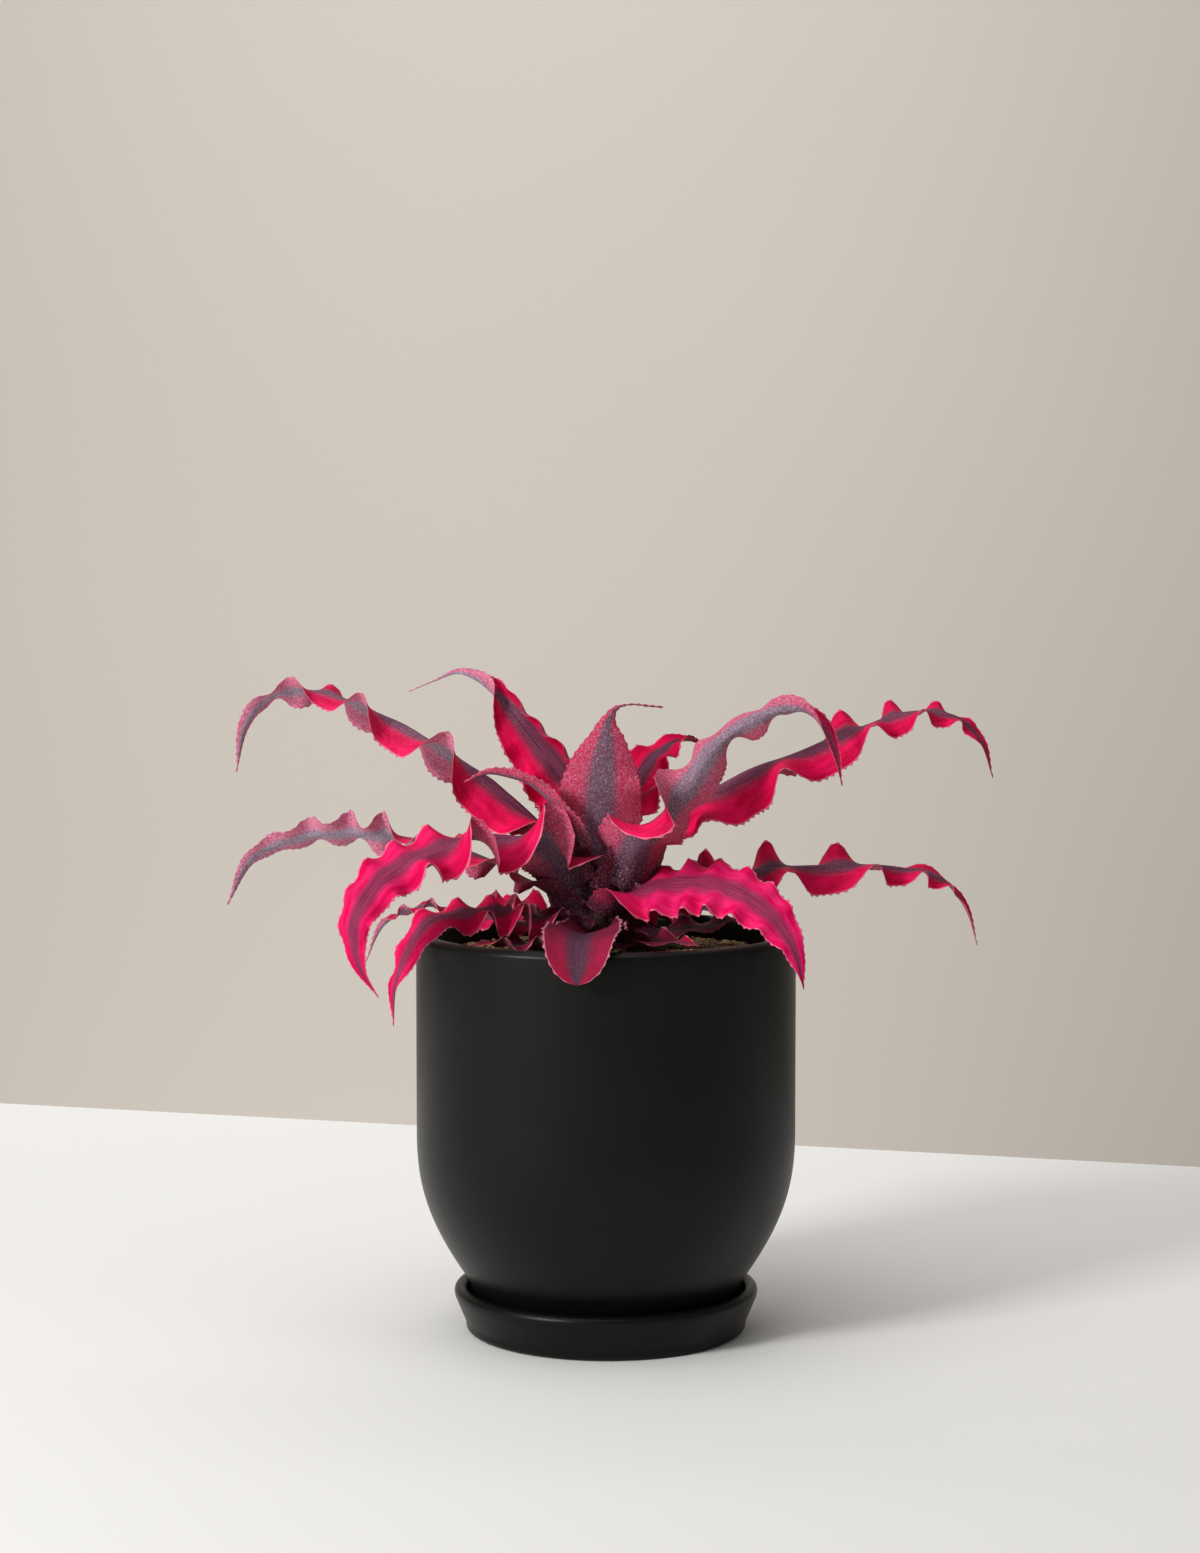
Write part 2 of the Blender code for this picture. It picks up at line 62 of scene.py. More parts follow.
camera_data = bpy.data.cameras.new("front_view")
camera_data.lens = CAMERA_LENS_MM
camera_data.sensor_width = CAMERA_SENSOR_MM
camera = bpy.data.objects.new("front_view", camera_data)
camera.location = CAMERA_PLACE
camera.rotation_euler = (np.radians(90 - CAMERA_TILT_DOWN), 0.0, 0.0)
bpy.context.scene.collection.objects.link(camera)
bpy.context.scene.camera = camera
print("camera:", CAMERA_LENS_MM, "mm lens,", CAMERA_TILT_DOWN, "degrees down")

# %% [markdown]
# ## Helpers for surfaces
# Every new piece is made of grids of points that close round one way, like a sleeve. A leaf is such a sleeve
# pressed flat, with its two ends shut. A turned pot is a sleeve bent into a ring, so that its last row meets
# its first. Working a grid out as one numpy array is quick, and it keeps the rows of faces tidy for smooth
# shading.

# %% Make a piece from a sleeve of points
def sleeve_faces(rows, ring, joined=False):
    """Faces of a rows by ring grid of points that closes on itself round the ring.

    Face (i, j) joins points (i, j), (i, j+1), (i+1, j+1) and (i+1, j), where j+1 wraps to 0 at the end. If
    joined, the last row meets the first one too, like a tube bent into a ring.
    """
    row, place = np.meshgrid(np.arange(rows if joined else rows - 1), np.arange(ring), indexing="ij")
    next_row, next_place = (row + 1) % rows, (place + 1) % ring
    corners = (row * ring + place, row * ring + next_place, next_row * ring + next_place, next_row * ring + place)
    return np.stack(corners, axis=-1).reshape(-1, 4)


print("a sleeve of 3 rings of 4 points has", len(sleeve_faces(3, 4)), "faces")

# %% [markdown]
# Points and faces then become an object. Blender could smooth or subdivide it with modifiers, but these grids
# are fine enough already, so smooth shading is all that is added.

# %% Turn points and faces into a piece
def add_piece(name, points, faces, materials, replaces=(), face_materials=None, attributes=None, uv=None):
    """A mesh piece that rides on the plant's one body, with smooth shading and its finish."""
    mesh = bpy.data.meshes.new(name)
    mesh.from_pydata(points.reshape(-1, 3).tolist(), [], [list(face) for face in faces])
    for material in materials:
        mesh.materials.append(material)
    mesh.polygons.foreach_set("use_smooth", np.ones(len(mesh.polygons), bool))
    if face_materials is not None:
        mesh.polygons.foreach_set("material_index", face_materials.astype(np.int32))
    for key, values in (attributes or {}).items():
        mesh.attributes.new(key, "FLOAT", "POINT").data.foreach_set("value", values.astype(np.float32).ravel())
    if uv is not None:
        corner_points = np.empty(len(mesh.loops), np.int32)
        mesh.loops.foreach_get("vertex_index", corner_points)
        layer = mesh.uv_layers.new(name="surface")
        layer.data.foreach_set("uv", uv.reshape(-1, 2)[corner_points].astype(np.float32).ravel())
    mesh.validate()
    piece = bpy.data.objects.new(name, mesh)
    bpy.context.scene.collection.objects.link(piece)
    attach(piece, "root")
    for node_name in replaces:
        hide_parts(node_name)
    mesh.calc_loop_triangles()
    print(f"{name}: {len(mesh.loop_triangles)} triangles")
    return piece

# %% [markdown]
# Noise that repeats exactly is needed in several shapes: bumps in the soil, uneven teeth, a slightly wavy
# margin. A list of random heights, read with a smooth step between neighbours, gives it in one line.

# %% Smooth noise along a line
NOISE_HEIGHTS = 4096
NOISE_START = 100


def wander(at, spacing, seed):
    """Smooth noise from -1 to 1: a random height every spacing, and a smooth step from each to the next."""
    heights = np.random.default_rng(seed).uniform(-1, 1, NOISE_HEIGHTS)
    step = np.asarray(at) / spacing + NOISE_START
    whole = np.floor(step).astype(int)
    s = step - whole
    s = s * s * (3 - 2 * s)
    return heights[whole % NOISE_HEIGHTS] * (1 - s) + heights[(whole + 1) % NOISE_HEIGHTS] * s


print("smooth noise half way between two heights:", round(float(wander(0.5, 1.0, 1)), 3))

# %% [markdown]
# ## Helpers for finishes
# A finish is a Principled material whose colour, roughness and bump come from a few nodes. Small helpers
# keep each finish short: they add a node, do a sum, mix two colours, turn a value into a soft mask between
# two limits, make noise, start a material, and add bump.

# %% Node helpers
def add_node(tree, kind, inputs=None, **settings):
    """A node with its settings and its named inputs, each a plain value or another node's output."""
    node = tree.nodes.new(kind)
    for key, value in settings.items():
        setattr(node, key, value)
    for key, value in (inputs or {}).items():
        if isinstance(value, bpy.types.NodeSocket):
            tree.links.new(value, node.inputs[key])
        else:
            node.inputs[key].default_value = value
    return node


def calculate(tree, operation, first, second):
    """The result of first (operation) second, kept between 0 and 1."""
    node = add_node(tree, "ShaderNodeMath", {0: first, 1: second}, operation=operation, use_clamp=True)
    return node.outputs[0]


def times(tree, first, second):
    """The product of two values."""
    return calculate(tree, "MULTIPLY", first, second)


def blend(tree, share, first, second):
    """The first colour where share is 0, the second where it is 1, and a mixture between."""
    colours = [(*c, 1.0) if isinstance(c, tuple) else c for c in (first, second)]
    node = add_node(tree, "ShaderNodeMix", {0: share, 6: colours[0], 7: colours[1]}, data_type="RGBA")
    return node.outputs[2]


def mask(tree, value, low, high):
    """0 where value is under low, 1 where it is over high, and a smooth step between."""
    inputs = {"Value": value, "From Min": low, "From Max": high}
    node = add_node(tree, "ShaderNodeMapRange", inputs, interpolation_type="SMOOTHSTEP")
    return node.outputs["Result"]


def noise(tree, vector, scale, detail=2.0, roughness=0.5):
    """Cloudy noise from 0 to 1 with this many features to the metre."""
    inputs = {"Vector": vector, "Scale": scale, "Detail": detail, "Roughness": roughness}
    return add_node(tree, "ShaderNodeTexNoise", inputs).outputs["Fac"]


def two_tone(tree, pattern, low, high, colours):
    """Two colours in patches: the first where the pattern is under low, the second where it is over high."""
    return blend(tree, mask(tree, pattern, low, high), *colours)


def new_finish(name, roughness, specular=0.5):
    """A new Principled material, its node tree, its shader, and its coordinates on the object."""
    material = bpy.data.materials.new(name)
    material.use_nodes = True
    tree = material.node_tree
    shader = tree.nodes["Principled BSDF"]
    shader.inputs["Roughness"].default_value = roughness
    shader.inputs["Specular IOR Level"].default_value = specular
    return material, tree, shader, add_node(tree, "ShaderNodeTexCoord").outputs["Object"]


def set_colour(tree, shader, colour):
    """Gives the shader this base colour."""
    tree.links.new(colour, shader.inputs["Base Color"])


def add_bump(tree, shader, height, distance):
    """Tilts the shading by this height pattern, whose full range is the distance in metres."""
    inputs = {"Height": height, "Distance": distance, "Strength": 1.0}
    bump = add_node(tree, "ShaderNodeBump", inputs)
    tree.links.new(bump.outputs["Normal"], shader.inputs["Normal"])


print("finish helpers ready")

# %% [markdown]
# ## The room
# The pot stands on an off-white table in front of a warm grey wall. The table's far edge runs at a slant,
# so it is a plain slab turned a little. The wall stands well behind it. Both are only the stage.

# %% Table and wall
TABLE_HALF_WIDTH = 3.0
TABLE_DEPTH = 4.0
TABLE_EDGE_MIDDLE = (0.0, 0.351)
TABLE_EDGE_TURN = -16.2
WALL_DISTANCE = 1.9
WALL_HALF_SIZE = 4.0
WALL_LOW = -2.0
WALL_HIGH = 3.0


def stage_colour(name, light, dark, spread):
    """A matt wash of two close colours that changes slowly over the surface."""
    material, tree, shader, place = new_finish(name, roughness=0.9, specular=0.1)
    set_colour(tree, shader, two_tone(tree, noise(tree, place, spread), 0.3, 0.7, (light, dark)))
    return material


def add_stage(name, corners, material):
    """A flat four-cornered sheet that isn't part of the plant."""
    mesh = bpy.data.meshes.new(name)
    mesh.from_pydata(corners, [], [(0, 1, 2, 3)])
    mesh.materials.append(material)
    sheet = bpy.data.objects.new(name, mesh)
    bpy.context.scene.collection.objects.link(sheet)
    return sheet


turn = np.radians(TABLE_EDGE_TURN)
edge = np.array([np.cos(turn), np.sin(turn), 0.0]) * TABLE_HALF_WIDTH
forward = np.array([np.sin(turn), -np.cos(turn), 0.0]) * TABLE_DEPTH
middle = np.array([*TABLE_EDGE_MIDDLE, 0.0])
table_corners = [middle - edge, middle - edge + forward, middle + edge + forward, middle + edge]
add_stage("table", table_corners, stage_colour("table_white", (0.86, 0.85, 0.83), (0.84, 0.83, 0.81), 2.0))
wall_corners = [(side * WALL_HALF_SIZE, WALL_DISTANCE, height)
                for side, height in ((-1, WALL_LOW), (1, WALL_LOW), (1, WALL_HIGH), (-1, WALL_HIGH))]
add_stage("wall", wall_corners, stage_colour("wall_grey", (0.66, 0.605, 0.54), (0.64, 0.587, 0.52), 1.0))
print("table edge", round(float(middle[1]), 3), "m behind the pot, wall", WALL_DISTANCE, "m")

# %% [markdown]
# ## The light
# One soft window light comes from the left and a little from the front, low enough for a long shadow to the
# right. It makes the pale upright band on the pot, left of its middle. A large light from above lifts the
# leaves' upper sides, and an even pale world fills the shadows. The wall is too far back for either, so two
# more lights wash it: one from above, and one from below the table's far edge, where it stays hidden.

# %% Lights
WORLD_COLOUR = (1.0, 0.985, 0.96, 1.0)
WORLD_STRENGTH = 0.21
LIGHTS = {
    "window": dict(place=(-1.05, -0.93, 0.73), target=(0.0, 0.0, 0.12), size=0.38, watts=18.0),
    "overhead": dict(place=(-0.25, -0.30, 1.50), target=(0.0, 0.0, 0.12), size=1.20, watts=9.0),
    "wall_wash": dict(place=(-0.10, 0.80, 1.20), target=(0.15, 1.90, 0.10), size=1.20, watts=10.0),
    "wall_foot": dict(place=(-0.25, 1.05, -0.60), target=(-0.30, 1.90, -0.05), size=0.80, watts=4.6),
}

world = bpy.data.worlds.new("studio")
world.use_nodes = True
world.node_tree.nodes["Background"].inputs["Color"].default_value = WORLD_COLOUR
world.node_tree.nodes["Background"].inputs["Strength"].default_value = WORLD_STRENGTH
bpy.context.scene.world = world
bpy.context.scene.view_settings.view_transform = "Standard"


def aim(place, target):
    """Euler angles that turn a light's -Z axis from its place towards the target."""
    x, y, z = np.asarray(target) - np.asarray(place)
    return (np.arctan2(np.hypot(x, y), -z), 0.0, np.arctan2(-x, y))


for name, spec in LIGHTS.items():
    light_data = bpy.data.lights.new(name, "AREA")
    light_data.size = spec["size"]
    light_data.energy = spec["watts"]
    light = bpy.data.objects.new(name, light_data)
    light.location = spec["place"]
    light.rotation_euler = aim(spec["place"], spec["target"])
    bpy.context.scene.collection.objects.link(light)
    print(name, "light:", spec["watts"], "W")

# %% [markdown]
# ## Pot and saucer
# Both are slip-cast ceramic with a matt black glaze: nearly smooth, with a faint orange-peel surface and a
# few tiny pits. The pot has a straight wall, a rounded bottom and a narrow foot. The saucer is a low tray
# with a flared wall. The glaze could be plain black, but then its highlights would look like plastic. So
# noise of several sizes breaks up its colour, its sheen and its surface. Both shapes are turned.

# %% The matt black glaze
GLAZE_BLACKS = ((0.0020, 0.0020, 0.0016), (0.0034, 0.0033, 0.0028))
GLAZE_GRAIN = (0.007, 0.007, 0.006)
GLAZE_ROUGHNESS = (0.31, 0.43)
GLAZE_RELIEF = 0.00006


def black_glaze(name):
    """Matt black: an uneven satin sheen, fine grain and sparse pits, all in the object's own coordinates."""
    material, tree, shader, place = new_finish(name, roughness=0.5, specular=0.17)
    cloud = noise(tree, place, 35.0, detail=3.0)
    grain = noise(tree, place, 1400.0, detail=2.0)
    peel = noise(tree, place, 420.0, detail=1.0)
    pits = add_node(tree, "ShaderNodeTexVoronoi", {"Vector": place, "Scale": 260.0}).outputs["Distance"]
    pit_mask = mask(tree, pits, 0.10, 0.04)
    colour = two_tone(tree, cloud, 0.3, 0.7, GLAZE_BLACKS)
    colour = blend(tree, times(tree, grain, 0.35), colour, GLAZE_GRAIN)
    set_colour(tree, shader, colour)
    limits = {"Value": grain, "To Min": GLAZE_ROUGHNESS[0], "To Max": GLAZE_ROUGHNESS[1]}
    sheen = add_node(tree, "ShaderNodeMapRange", limits)
    tree.links.new(sheen.outputs["Result"], shader.inputs["Roughness"])
    relief = calculate(tree, "ADD", times(tree, grain, 0.3), times(tree, peel, 0.6))
    add_bump(tree, shader, calculate(tree, "SUBTRACT", relief, pit_mask), GLAZE_RELIEF)
    return material


glaze = black_glaze("matt_black_glaze")
print("glaze ready:", glaze.name)

# %% [markdown]
# ## Turned shapes
# A turned shape is a closed profile carried round the axis, as clay is shaped on a wheel. Blender's Screw
# modifier could do it. Here the points are worked out as one array instead, because the soil is roughened
# later by moving them. A profile is put together from arcs, a Bezier curve and straight runs, down the outer
# side and back up the inner. It stops a few hundredths of a millimetre short of the axis, where faces would
# shrink to nothing.

# %% Curves of a profile, and turning it
TURN_STEPS = 192


def arc(centre, radius, start, end, points, squash=1.0):
    """Points (r, z) on a circle from angle start to end in degrees, its height scaled by squash."""
    angle = np.radians(np.linspace(start, end, points))
    return np.stack([centre[0] + radius * np.cos(angle), centre[1] + squash * radius * np.sin(angle)], axis=1)


def bezier(corners, points):
    """Cubic Bezier curve: the four corners weighted by (1-t)^3, 3t(1-t)^2, 3t^2(1-t) and t^3."""
    t = np.linspace(0, 1, points)[:, None]
    weights = ((1 - t) ** 3, 3 * t * (1 - t) ** 2, 3 * t**2 * (1 - t), t**3)
    return sum(weight * np.array(corner) for weight, corner in zip(weights, corners))


def straight(start, end, points):
    """Evenly spaced points from start to end."""
    return np.linspace(start, end, points)


def turned(profile):
    """A closed profile (r, z) carried round the Z axis: x = r cos a, y = r sin a, at evenly spaced a."""
    angle = np.linspace(0, 2 * np.pi, TURN_STEPS, endpoint=False)
    across = profile[None, :, 0]
    height = np.broadcast_to(profile[None, :, 1], (TURN_STEPS, len(profile)))
    return np.stack([np.cos(angle)[:, None] * across, np.sin(angle)[:, None] * across, height], axis=-1)


def turned_faces(profile):
    """The faces of a turned shape, whose grid closes on itself both ways."""
    return sleeve_faces(TURN_STEPS, len(profile), joined=True)


print("a turned shape has", TURN_STEPS, "steps round the axis")

# %% [markdown]
# ## The saucer
# The saucer is a low tray with a flat floor and a wall that flares out to a rounded rim. A cylinder cut out
# of another would give the same tray with sharp corners. One closed profile gives it soft corners, as a
# coat of glaze does. Its rim and height are read from the solid model.

# %% Turn the saucer
saucer_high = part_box("saucer")[1]
SAUCER_RIM = saucer_high.x
SAUCER_TOP = saucer_high.z
SAUCER_FOOT = 0.0465
SAUCER_WALL = 0.0046
SAUCER_FLOOR = 0.005
SAUCER_CORNER = 0.002
WALL_EASE = (0.0002, 0.0012)
FOOT_EASE = (0.0006, 0.0010)
FLOOR_EASE = (0.0003, 0.0006, 0.0015)
FOOT_FLAT = 0.9
AXIS_HOLE = 0.00002

lip = SAUCER_WALL / 2
lip_centre = (SAUCER_RIM - lip, SAUCER_TOP - lip)
slope = (SAUCER_RIM - SAUCER_FOOT) / SAUCER_TOP
foot_centre = (SAUCER_FOOT - SAUCER_CORNER + slope * SAUCER_CORNER, SAUCER_CORNER)
inner_lip = lip_centre[0] - lip
inner_foot = SAUCER_RIM - SAUCER_WALL - slope * (SAUCER_TOP - SAUCER_FLOOR)
wall_top = lip_centre[1] - WALL_EASE[1]
saucer_profile = np.concatenate([
    arc(lip_centre, lip, 90, 0, 9),
    straight((SAUCER_RIM - WALL_EASE[0], wall_top),
             (SAUCER_FOOT + FOOT_EASE[0], SAUCER_CORNER + FOOT_EASE[1]), 8),
    arc(foot_centre, SAUCER_CORNER, 0, -90, 7),
    straight((SAUCER_FOOT * FOOT_FLAT, 0.0), (AXIS_HOLE, 0.0), 6),
    straight((AXIS_HOLE, SAUCER_FLOOR), (inner_foot - FLOOR_EASE[2], SAUCER_FLOOR), 6),
    straight((inner_foot - FLOOR_EASE[0], SAUCER_FLOOR + FLOOR_EASE[1]),
             (inner_lip - WALL_EASE[0], wall_top), 6),
    arc(lip_centre, lip, 180, 100, 8),
])
add_piece("saucer_tray", turned(saucer_profile), turned_faces(saucer_profile),
          [glaze], ["saucer"])

# %% [markdown]
# ## The pot
# The pot has a straight wall that rounds in to a narrow foot, a slightly flattened lip, and a drain hole in
# its floor. The rounding is one Bezier curve, because a circle's arc would look too heavy near the foot. The
# inner side repeats the outer one, moved in by the wall's thickness and raised a little at the bottom.

# %% Turn the pot
pot_low, pot_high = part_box("pot")
POT_RADIUS = pot_high.x
POT_TOP = pot_high.z
POT_BOTTOM = pot_low.z
POT_WALL = 0.006
POT_FLOOR = 0.006
POT_FOOT_RADIUS = 0.042
POT_NECK = (0.0462, 0.0174)
POT_BELLY_HEIGHT = 0.067
POT_INSIDE_RISE = 0.003
POT_LIP_SQUASH = 0.8
DRAIN_RADIUS = 0.006
DRAIN_EASE = 0.001
STRAIGHT_EASE = 0.003
LIP_EASE = 0.004
FOOT_FLARE = (0.003, 0.008)
FOOT_EDGE = (0.0004, 0.0012)
FOOT_ROUND = (0.0008, 0.004)
BELLY_TUCK = 0.2
BELLY_REACH = (0.36, 0.6)


def belly(inset, rise, points):
    """The rounded lower wall, from its top to the neck over the foot, moved in by inset and raised by rise."""
    drop = POT_BELLY_HEIGHT - POT_NECK[1]
    radius = POT_RADIUS - inset
    corners = [
        (radius, POT_BELLY_HEIGHT),
        (radius, POT_BELLY_HEIGHT - drop * BELLY_REACH[0] + rise / 3),
        (radius - (POT_RADIUS - POT_NECK[0]) * BELLY_TUCK,
         POT_BELLY_HEIGHT - drop * BELLY_REACH[1] + rise * 2 / 3),
        (POT_NECK[0] - inset, POT_NECK[1] + rise),
    ]
    return bezier(corners, points)


lip = POT_WALL / 2
lip_centre = (POT_RADIUS - lip, POT_TOP - lip * POT_LIP_SQUASH)
inner_radius = POT_RADIUS - POT_WALL
inner_floor = POT_BOTTOM + POT_FLOOR
pot_profile = np.concatenate([
    arc(lip_centre, lip, 90, 0, 10, POT_LIP_SQUASH),
    straight((POT_RADIUS, lip_centre[1] - LIP_EASE), (POT_RADIUS, POT_BELLY_HEIGHT + STRAIGHT_EASE), 14),
    belly(0.0, 0.0, 40),
    straight((POT_FOOT_RADIUS + FOOT_FLARE[0], POT_BOTTOM + FOOT_FLARE[1]),
             (POT_FOOT_RADIUS + FOOT_EDGE[0], POT_BOTTOM + FOOT_EDGE[1]), 4),
    [(POT_FOOT_RADIUS - FOOT_ROUND[0], POT_BOTTOM)],
    straight((POT_FOOT_RADIUS - FOOT_ROUND[1], POT_BOTTOM), (DRAIN_RADIUS + DRAIN_EASE, POT_BOTTOM), 4),
    straight((DRAIN_RADIUS, POT_BOTTOM + DRAIN_EASE), (DRAIN_RADIUS, inner_floor - DRAIN_EASE), 3),
    straight((DRAIN_RADIUS + DRAIN_EASE, inner_floor), (POT_FOOT_RADIUS - POT_WALL, inner_floor), 5),
    belly(POT_WALL, POT_INSIDE_RISE, 24)[::-1],
    straight((inner_radius, POT_BELLY_HEIGHT + 2 * STRAIGHT_EASE),
             (inner_radius, lip_centre[1] - STRAIGHT_EASE), 10),
    arc(lip_centre, lip, 180, 100, 9, POT_LIP_SQUASH),
])
add_piece("pot_shell", turned(pot_profile), turned_faces(pot_profile),
          [glaze], ["pot"])

# %% [markdown]
# ## Potting mix
# Bromeliads grow in a coarse mix of bark chips and sand. Seen from above it is a slightly mounded bed of
# crumbs with loose chips on top, tan, brown and grey. A painted texture could be laid over it, but clumps of
# noise and grains of sand in the object's own coordinates look right from every side.

# %% The mix's finish
GRAIN_SHADOW = (0.02, 0.013, 0.009)
BED_BROWNS = ((0.20, 0.125, 0.06), (0.035, 0.022, 0.014), (0.42, 0.33, 0.20))
CHIP_BROWNS = ((0.50, 0.34, 0.16), (0.07, 0.040, 0.022), (0.62, 0.50, 0.33))


def mix_finish(name, pale, dark, specks):
    """Crumbly earth: two browns in clumps, and pale or dark specks of sand."""
    material, tree, shader, place = new_finish(name, roughness=0.95, specular=0.2)
    shade = add_node(tree, "ShaderNodeAttribute", attribute_name="shade").outputs["Fac"]
    clumps = noise(tree, place, 900.0, detail=4.0, roughness=0.65)
    sand = add_node(tree, "ShaderNodeTexVoronoi", {"Vector": place, "Scale": 1100.0}).outputs["Color"]
    colour = blend(tree, calculate(tree, "ADD", mask(tree, clumps, 0.35, 0.65), shade), dark, pale)
    grains = mask(tree, noise(tree, place, 2600.0, detail=1.0), 0.62, 0.70)
    colour = blend(tree, times(tree, grains, 0.7), colour, specks)
    tint = add_node(tree, "ShaderNodeSeparateColor", {"Color": sand}).outputs["Red"]
    colour = blend(tree, times(tree, tint, 0.35), colour, GRAIN_SHADOW)
    set_colour(tree, shader, colour)
    add_bump(tree, shader, clumps, 0.0006)
    return material


bed_finish = mix_finish("potting_mix_bed", *BED_BROWNS)
chip_finish = mix_finish("bark_chips", *CHIP_BROWNS)
print("mix finishes ready:", bed_finish.name, chip_finish.name)

# %% [markdown]
# The bed fills the pot from wall to wall, a little under the rim. Its profile is the pot's inner side with a
# mounded top of many close rings. Two sizes of smooth noise raise crumbs and clods on those rings, so the
# edge against the pot is rough too, which bump alone wouldn't give.

# %% Turn the bed of mix
soil_low, soil_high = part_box("potting_soil")
SOIL_RADIUS = soil_high.x
SOIL_TOP = soil_high.z
SOIL_MOUND = 0.0015
SOIL_ROUGHNESS = 0.0007
CRUMB_SIZE = 0.0016
CLOD_SIZE = 0.006
SOIL_RINGS = 120
SOIL_CENTRE = 0.0005
SOIL_GAP = 0.0005

share = np.linspace(SOIL_CENTRE, 1, SOIL_RINGS)
bed_top = np.stack([SOIL_RADIUS * share, SOIL_TOP - SOIL_MOUND * share**2], axis=1)
bed_side = belly(POT_WALL + SOIL_GAP, POT_INSIDE_RISE, 12)
bed_foot = np.array([(POT_FOOT_RADIUS - POT_WALL - 2 * SOIL_GAP, soil_low.z), (AXIS_HOLE, soil_low.z)])
bed_profile = np.concatenate([bed_top, bed_side, bed_foot])
bed_points = turned(bed_profile)
bed_x, bed_y = bed_points[:, :SOIL_RINGS, 0], bed_points[:, :SOIL_RINGS, 1]
crumbs = wander(bed_x + 0.7 * bed_y, CRUMB_SIZE, 11) * wander(bed_y - 0.6 * bed_x, CRUMB_SIZE, 12)
clods = wander(bed_x - 0.4 * bed_y, CLOD_SIZE, 13) * wander(bed_y + 0.5 * bed_x, CLOD_SIZE, 14)
bed_points[:, :SOIL_RINGS, 2] += SOIL_ROUGHNESS * (crumbs + clods) - SOIL_ROUGHNESS
add_piece("soil_bed", bed_points, turned_faces(bed_profile), [bed_finish],
          ["potting_soil"], attributes={"shade": np.zeros(bed_points.shape[:2])})

# %% [markdown]
# Loose chips of bark and pumice lie on the bed. They could be scattered as separate objects, but thousands
# of those are slow. Here all of them are one array: a small ball of points that is stretched, roughened,
# tilted and turned once for each chip. The square root of a random number, as radius, spreads them evenly.

# %% Scatter bark chips on the bed
CHIP_COUNT = 2600
CHIP_SIZES = (0.0006, 0.0019)
CHIP_RING = 6
CHIP_ROWS = 4
CHIP_POLE = 80
CHIP_TILT = 0.7
CHIP_SUNK = 0.25
CHIP_MARGIN = 0.002
CHIP_STRETCH = ((0.8, 0.45, 0.25), (1.5, 1.0, 0.6))
CHIP_ROUGHNESS = (0.75, 1.25)
CHIP_SHADES = (-0.4, 0.9)

rng = np.random.default_rng(5)
chip_r = (SOIL_RADIUS - CHIP_MARGIN) * np.sqrt(rng.uniform(0, 1, CHIP_COUNT))
chip_a = rng.uniform(0, 2 * np.pi, CHIP_COUNT)
chip_size = rng.uniform(*CHIP_SIZES, CHIP_COUNT) * rng.uniform(0.6, 1, CHIP_COUNT)
latitude = np.linspace(-CHIP_POLE, CHIP_POLE, CHIP_ROWS)[:, None]
longitude = np.linspace(0, 360, CHIP_RING, endpoint=False)[None, :]
ball = np.stack(np.broadcast_arrays(
    np.cos(np.radians(latitude)) * np.cos(np.radians(longitude)),
    np.cos(np.radians(latitude)) * np.sin(np.radians(longitude)),
    np.sin(np.radians(latitude)) * np.ones(CHIP_RING)), axis=-1).reshape(-1, 3)
stretch = rng.uniform(*CHIP_STRETCH, (CHIP_COUNT, 3))
rough = rng.uniform(*CHIP_ROUGHNESS, (CHIP_COUNT, len(ball), 1))
chips = ball[None] * rough * stretch[:, None] * chip_size[:, None, None]
tilt = rng.uniform(-CHIP_TILT, CHIP_TILT, CHIP_COUNT)[:, None]
spin = rng.uniform(0, 2 * np.pi, CHIP_COUNT)[:, None]
x, y, z = chips[..., 0], chips[..., 1], chips[..., 2]
y, z = y * np.cos(tilt) - z * np.sin(tilt), y * np.sin(tilt) + z * np.cos(tilt)
x, y = x * np.cos(spin) - y * np.sin(spin), x * np.sin(spin) + y * np.cos(spin)
chip_height = SOIL_TOP - SOIL_MOUND * (chip_r / SOIL_RADIUS) ** 2 - CHIP_SUNK * chip_size
chip_points = np.stack([
    x + (chip_r * np.cos(chip_a))[:, None],
    y + (chip_r * np.sin(chip_a))[:, None],
    z + chip_height[:, None]], axis=-1)
one_chip = [tuple(face) for face in sleeve_faces(CHIP_ROWS, CHIP_RING)]
one_chip += [tuple(range(CHIP_RING))[::-1], tuple((CHIP_ROWS - 1) * CHIP_RING + i for i in range(CHIP_RING))]
chip_faces = [tuple(corner + first for corner in face)
              for first in range(0, CHIP_COUNT * len(ball), len(ball)) for face in one_chip]
chip_shade = np.repeat(rng.uniform(*CHIP_SHADES, CHIP_COUNT), len(ball))
add_piece("soil_chips", chip_points, chip_faces, [chip_finish],
          attributes={"shade": chip_shade})

# %% [markdown]
# ## Leaf colours
# Each leaf has a dull maroon band along its middle and crimson margins. The upper side is smooth with fine
# lengthwise streaks. The underside and the older leaves carry scurf, a powder of tiny white scales that
# turns the band lilac-grey and the margins pale pink. The patterns have to follow the blade, so they read
# the blade's own map: metres along the midrib, and metres across scaled as at the widest place. Four numbers
# stored at each point steer the mixture: across (0 at the midrib, 1 at the margin), foot (1 at the sheath,
# where a darkening starts that is painted shade on the low leaves), tone (how hot the pink is) and frost (how
# much scurf there is).

# %% Patterns that both sides share
BAND_WOBBLE = 0.30


def leaf_value(tree, name):
    """A number that the leaf's mesh holds at each point."""
    return add_node(tree, "ShaderNodeAttribute", attribute_name=name).outputs["Fac"]


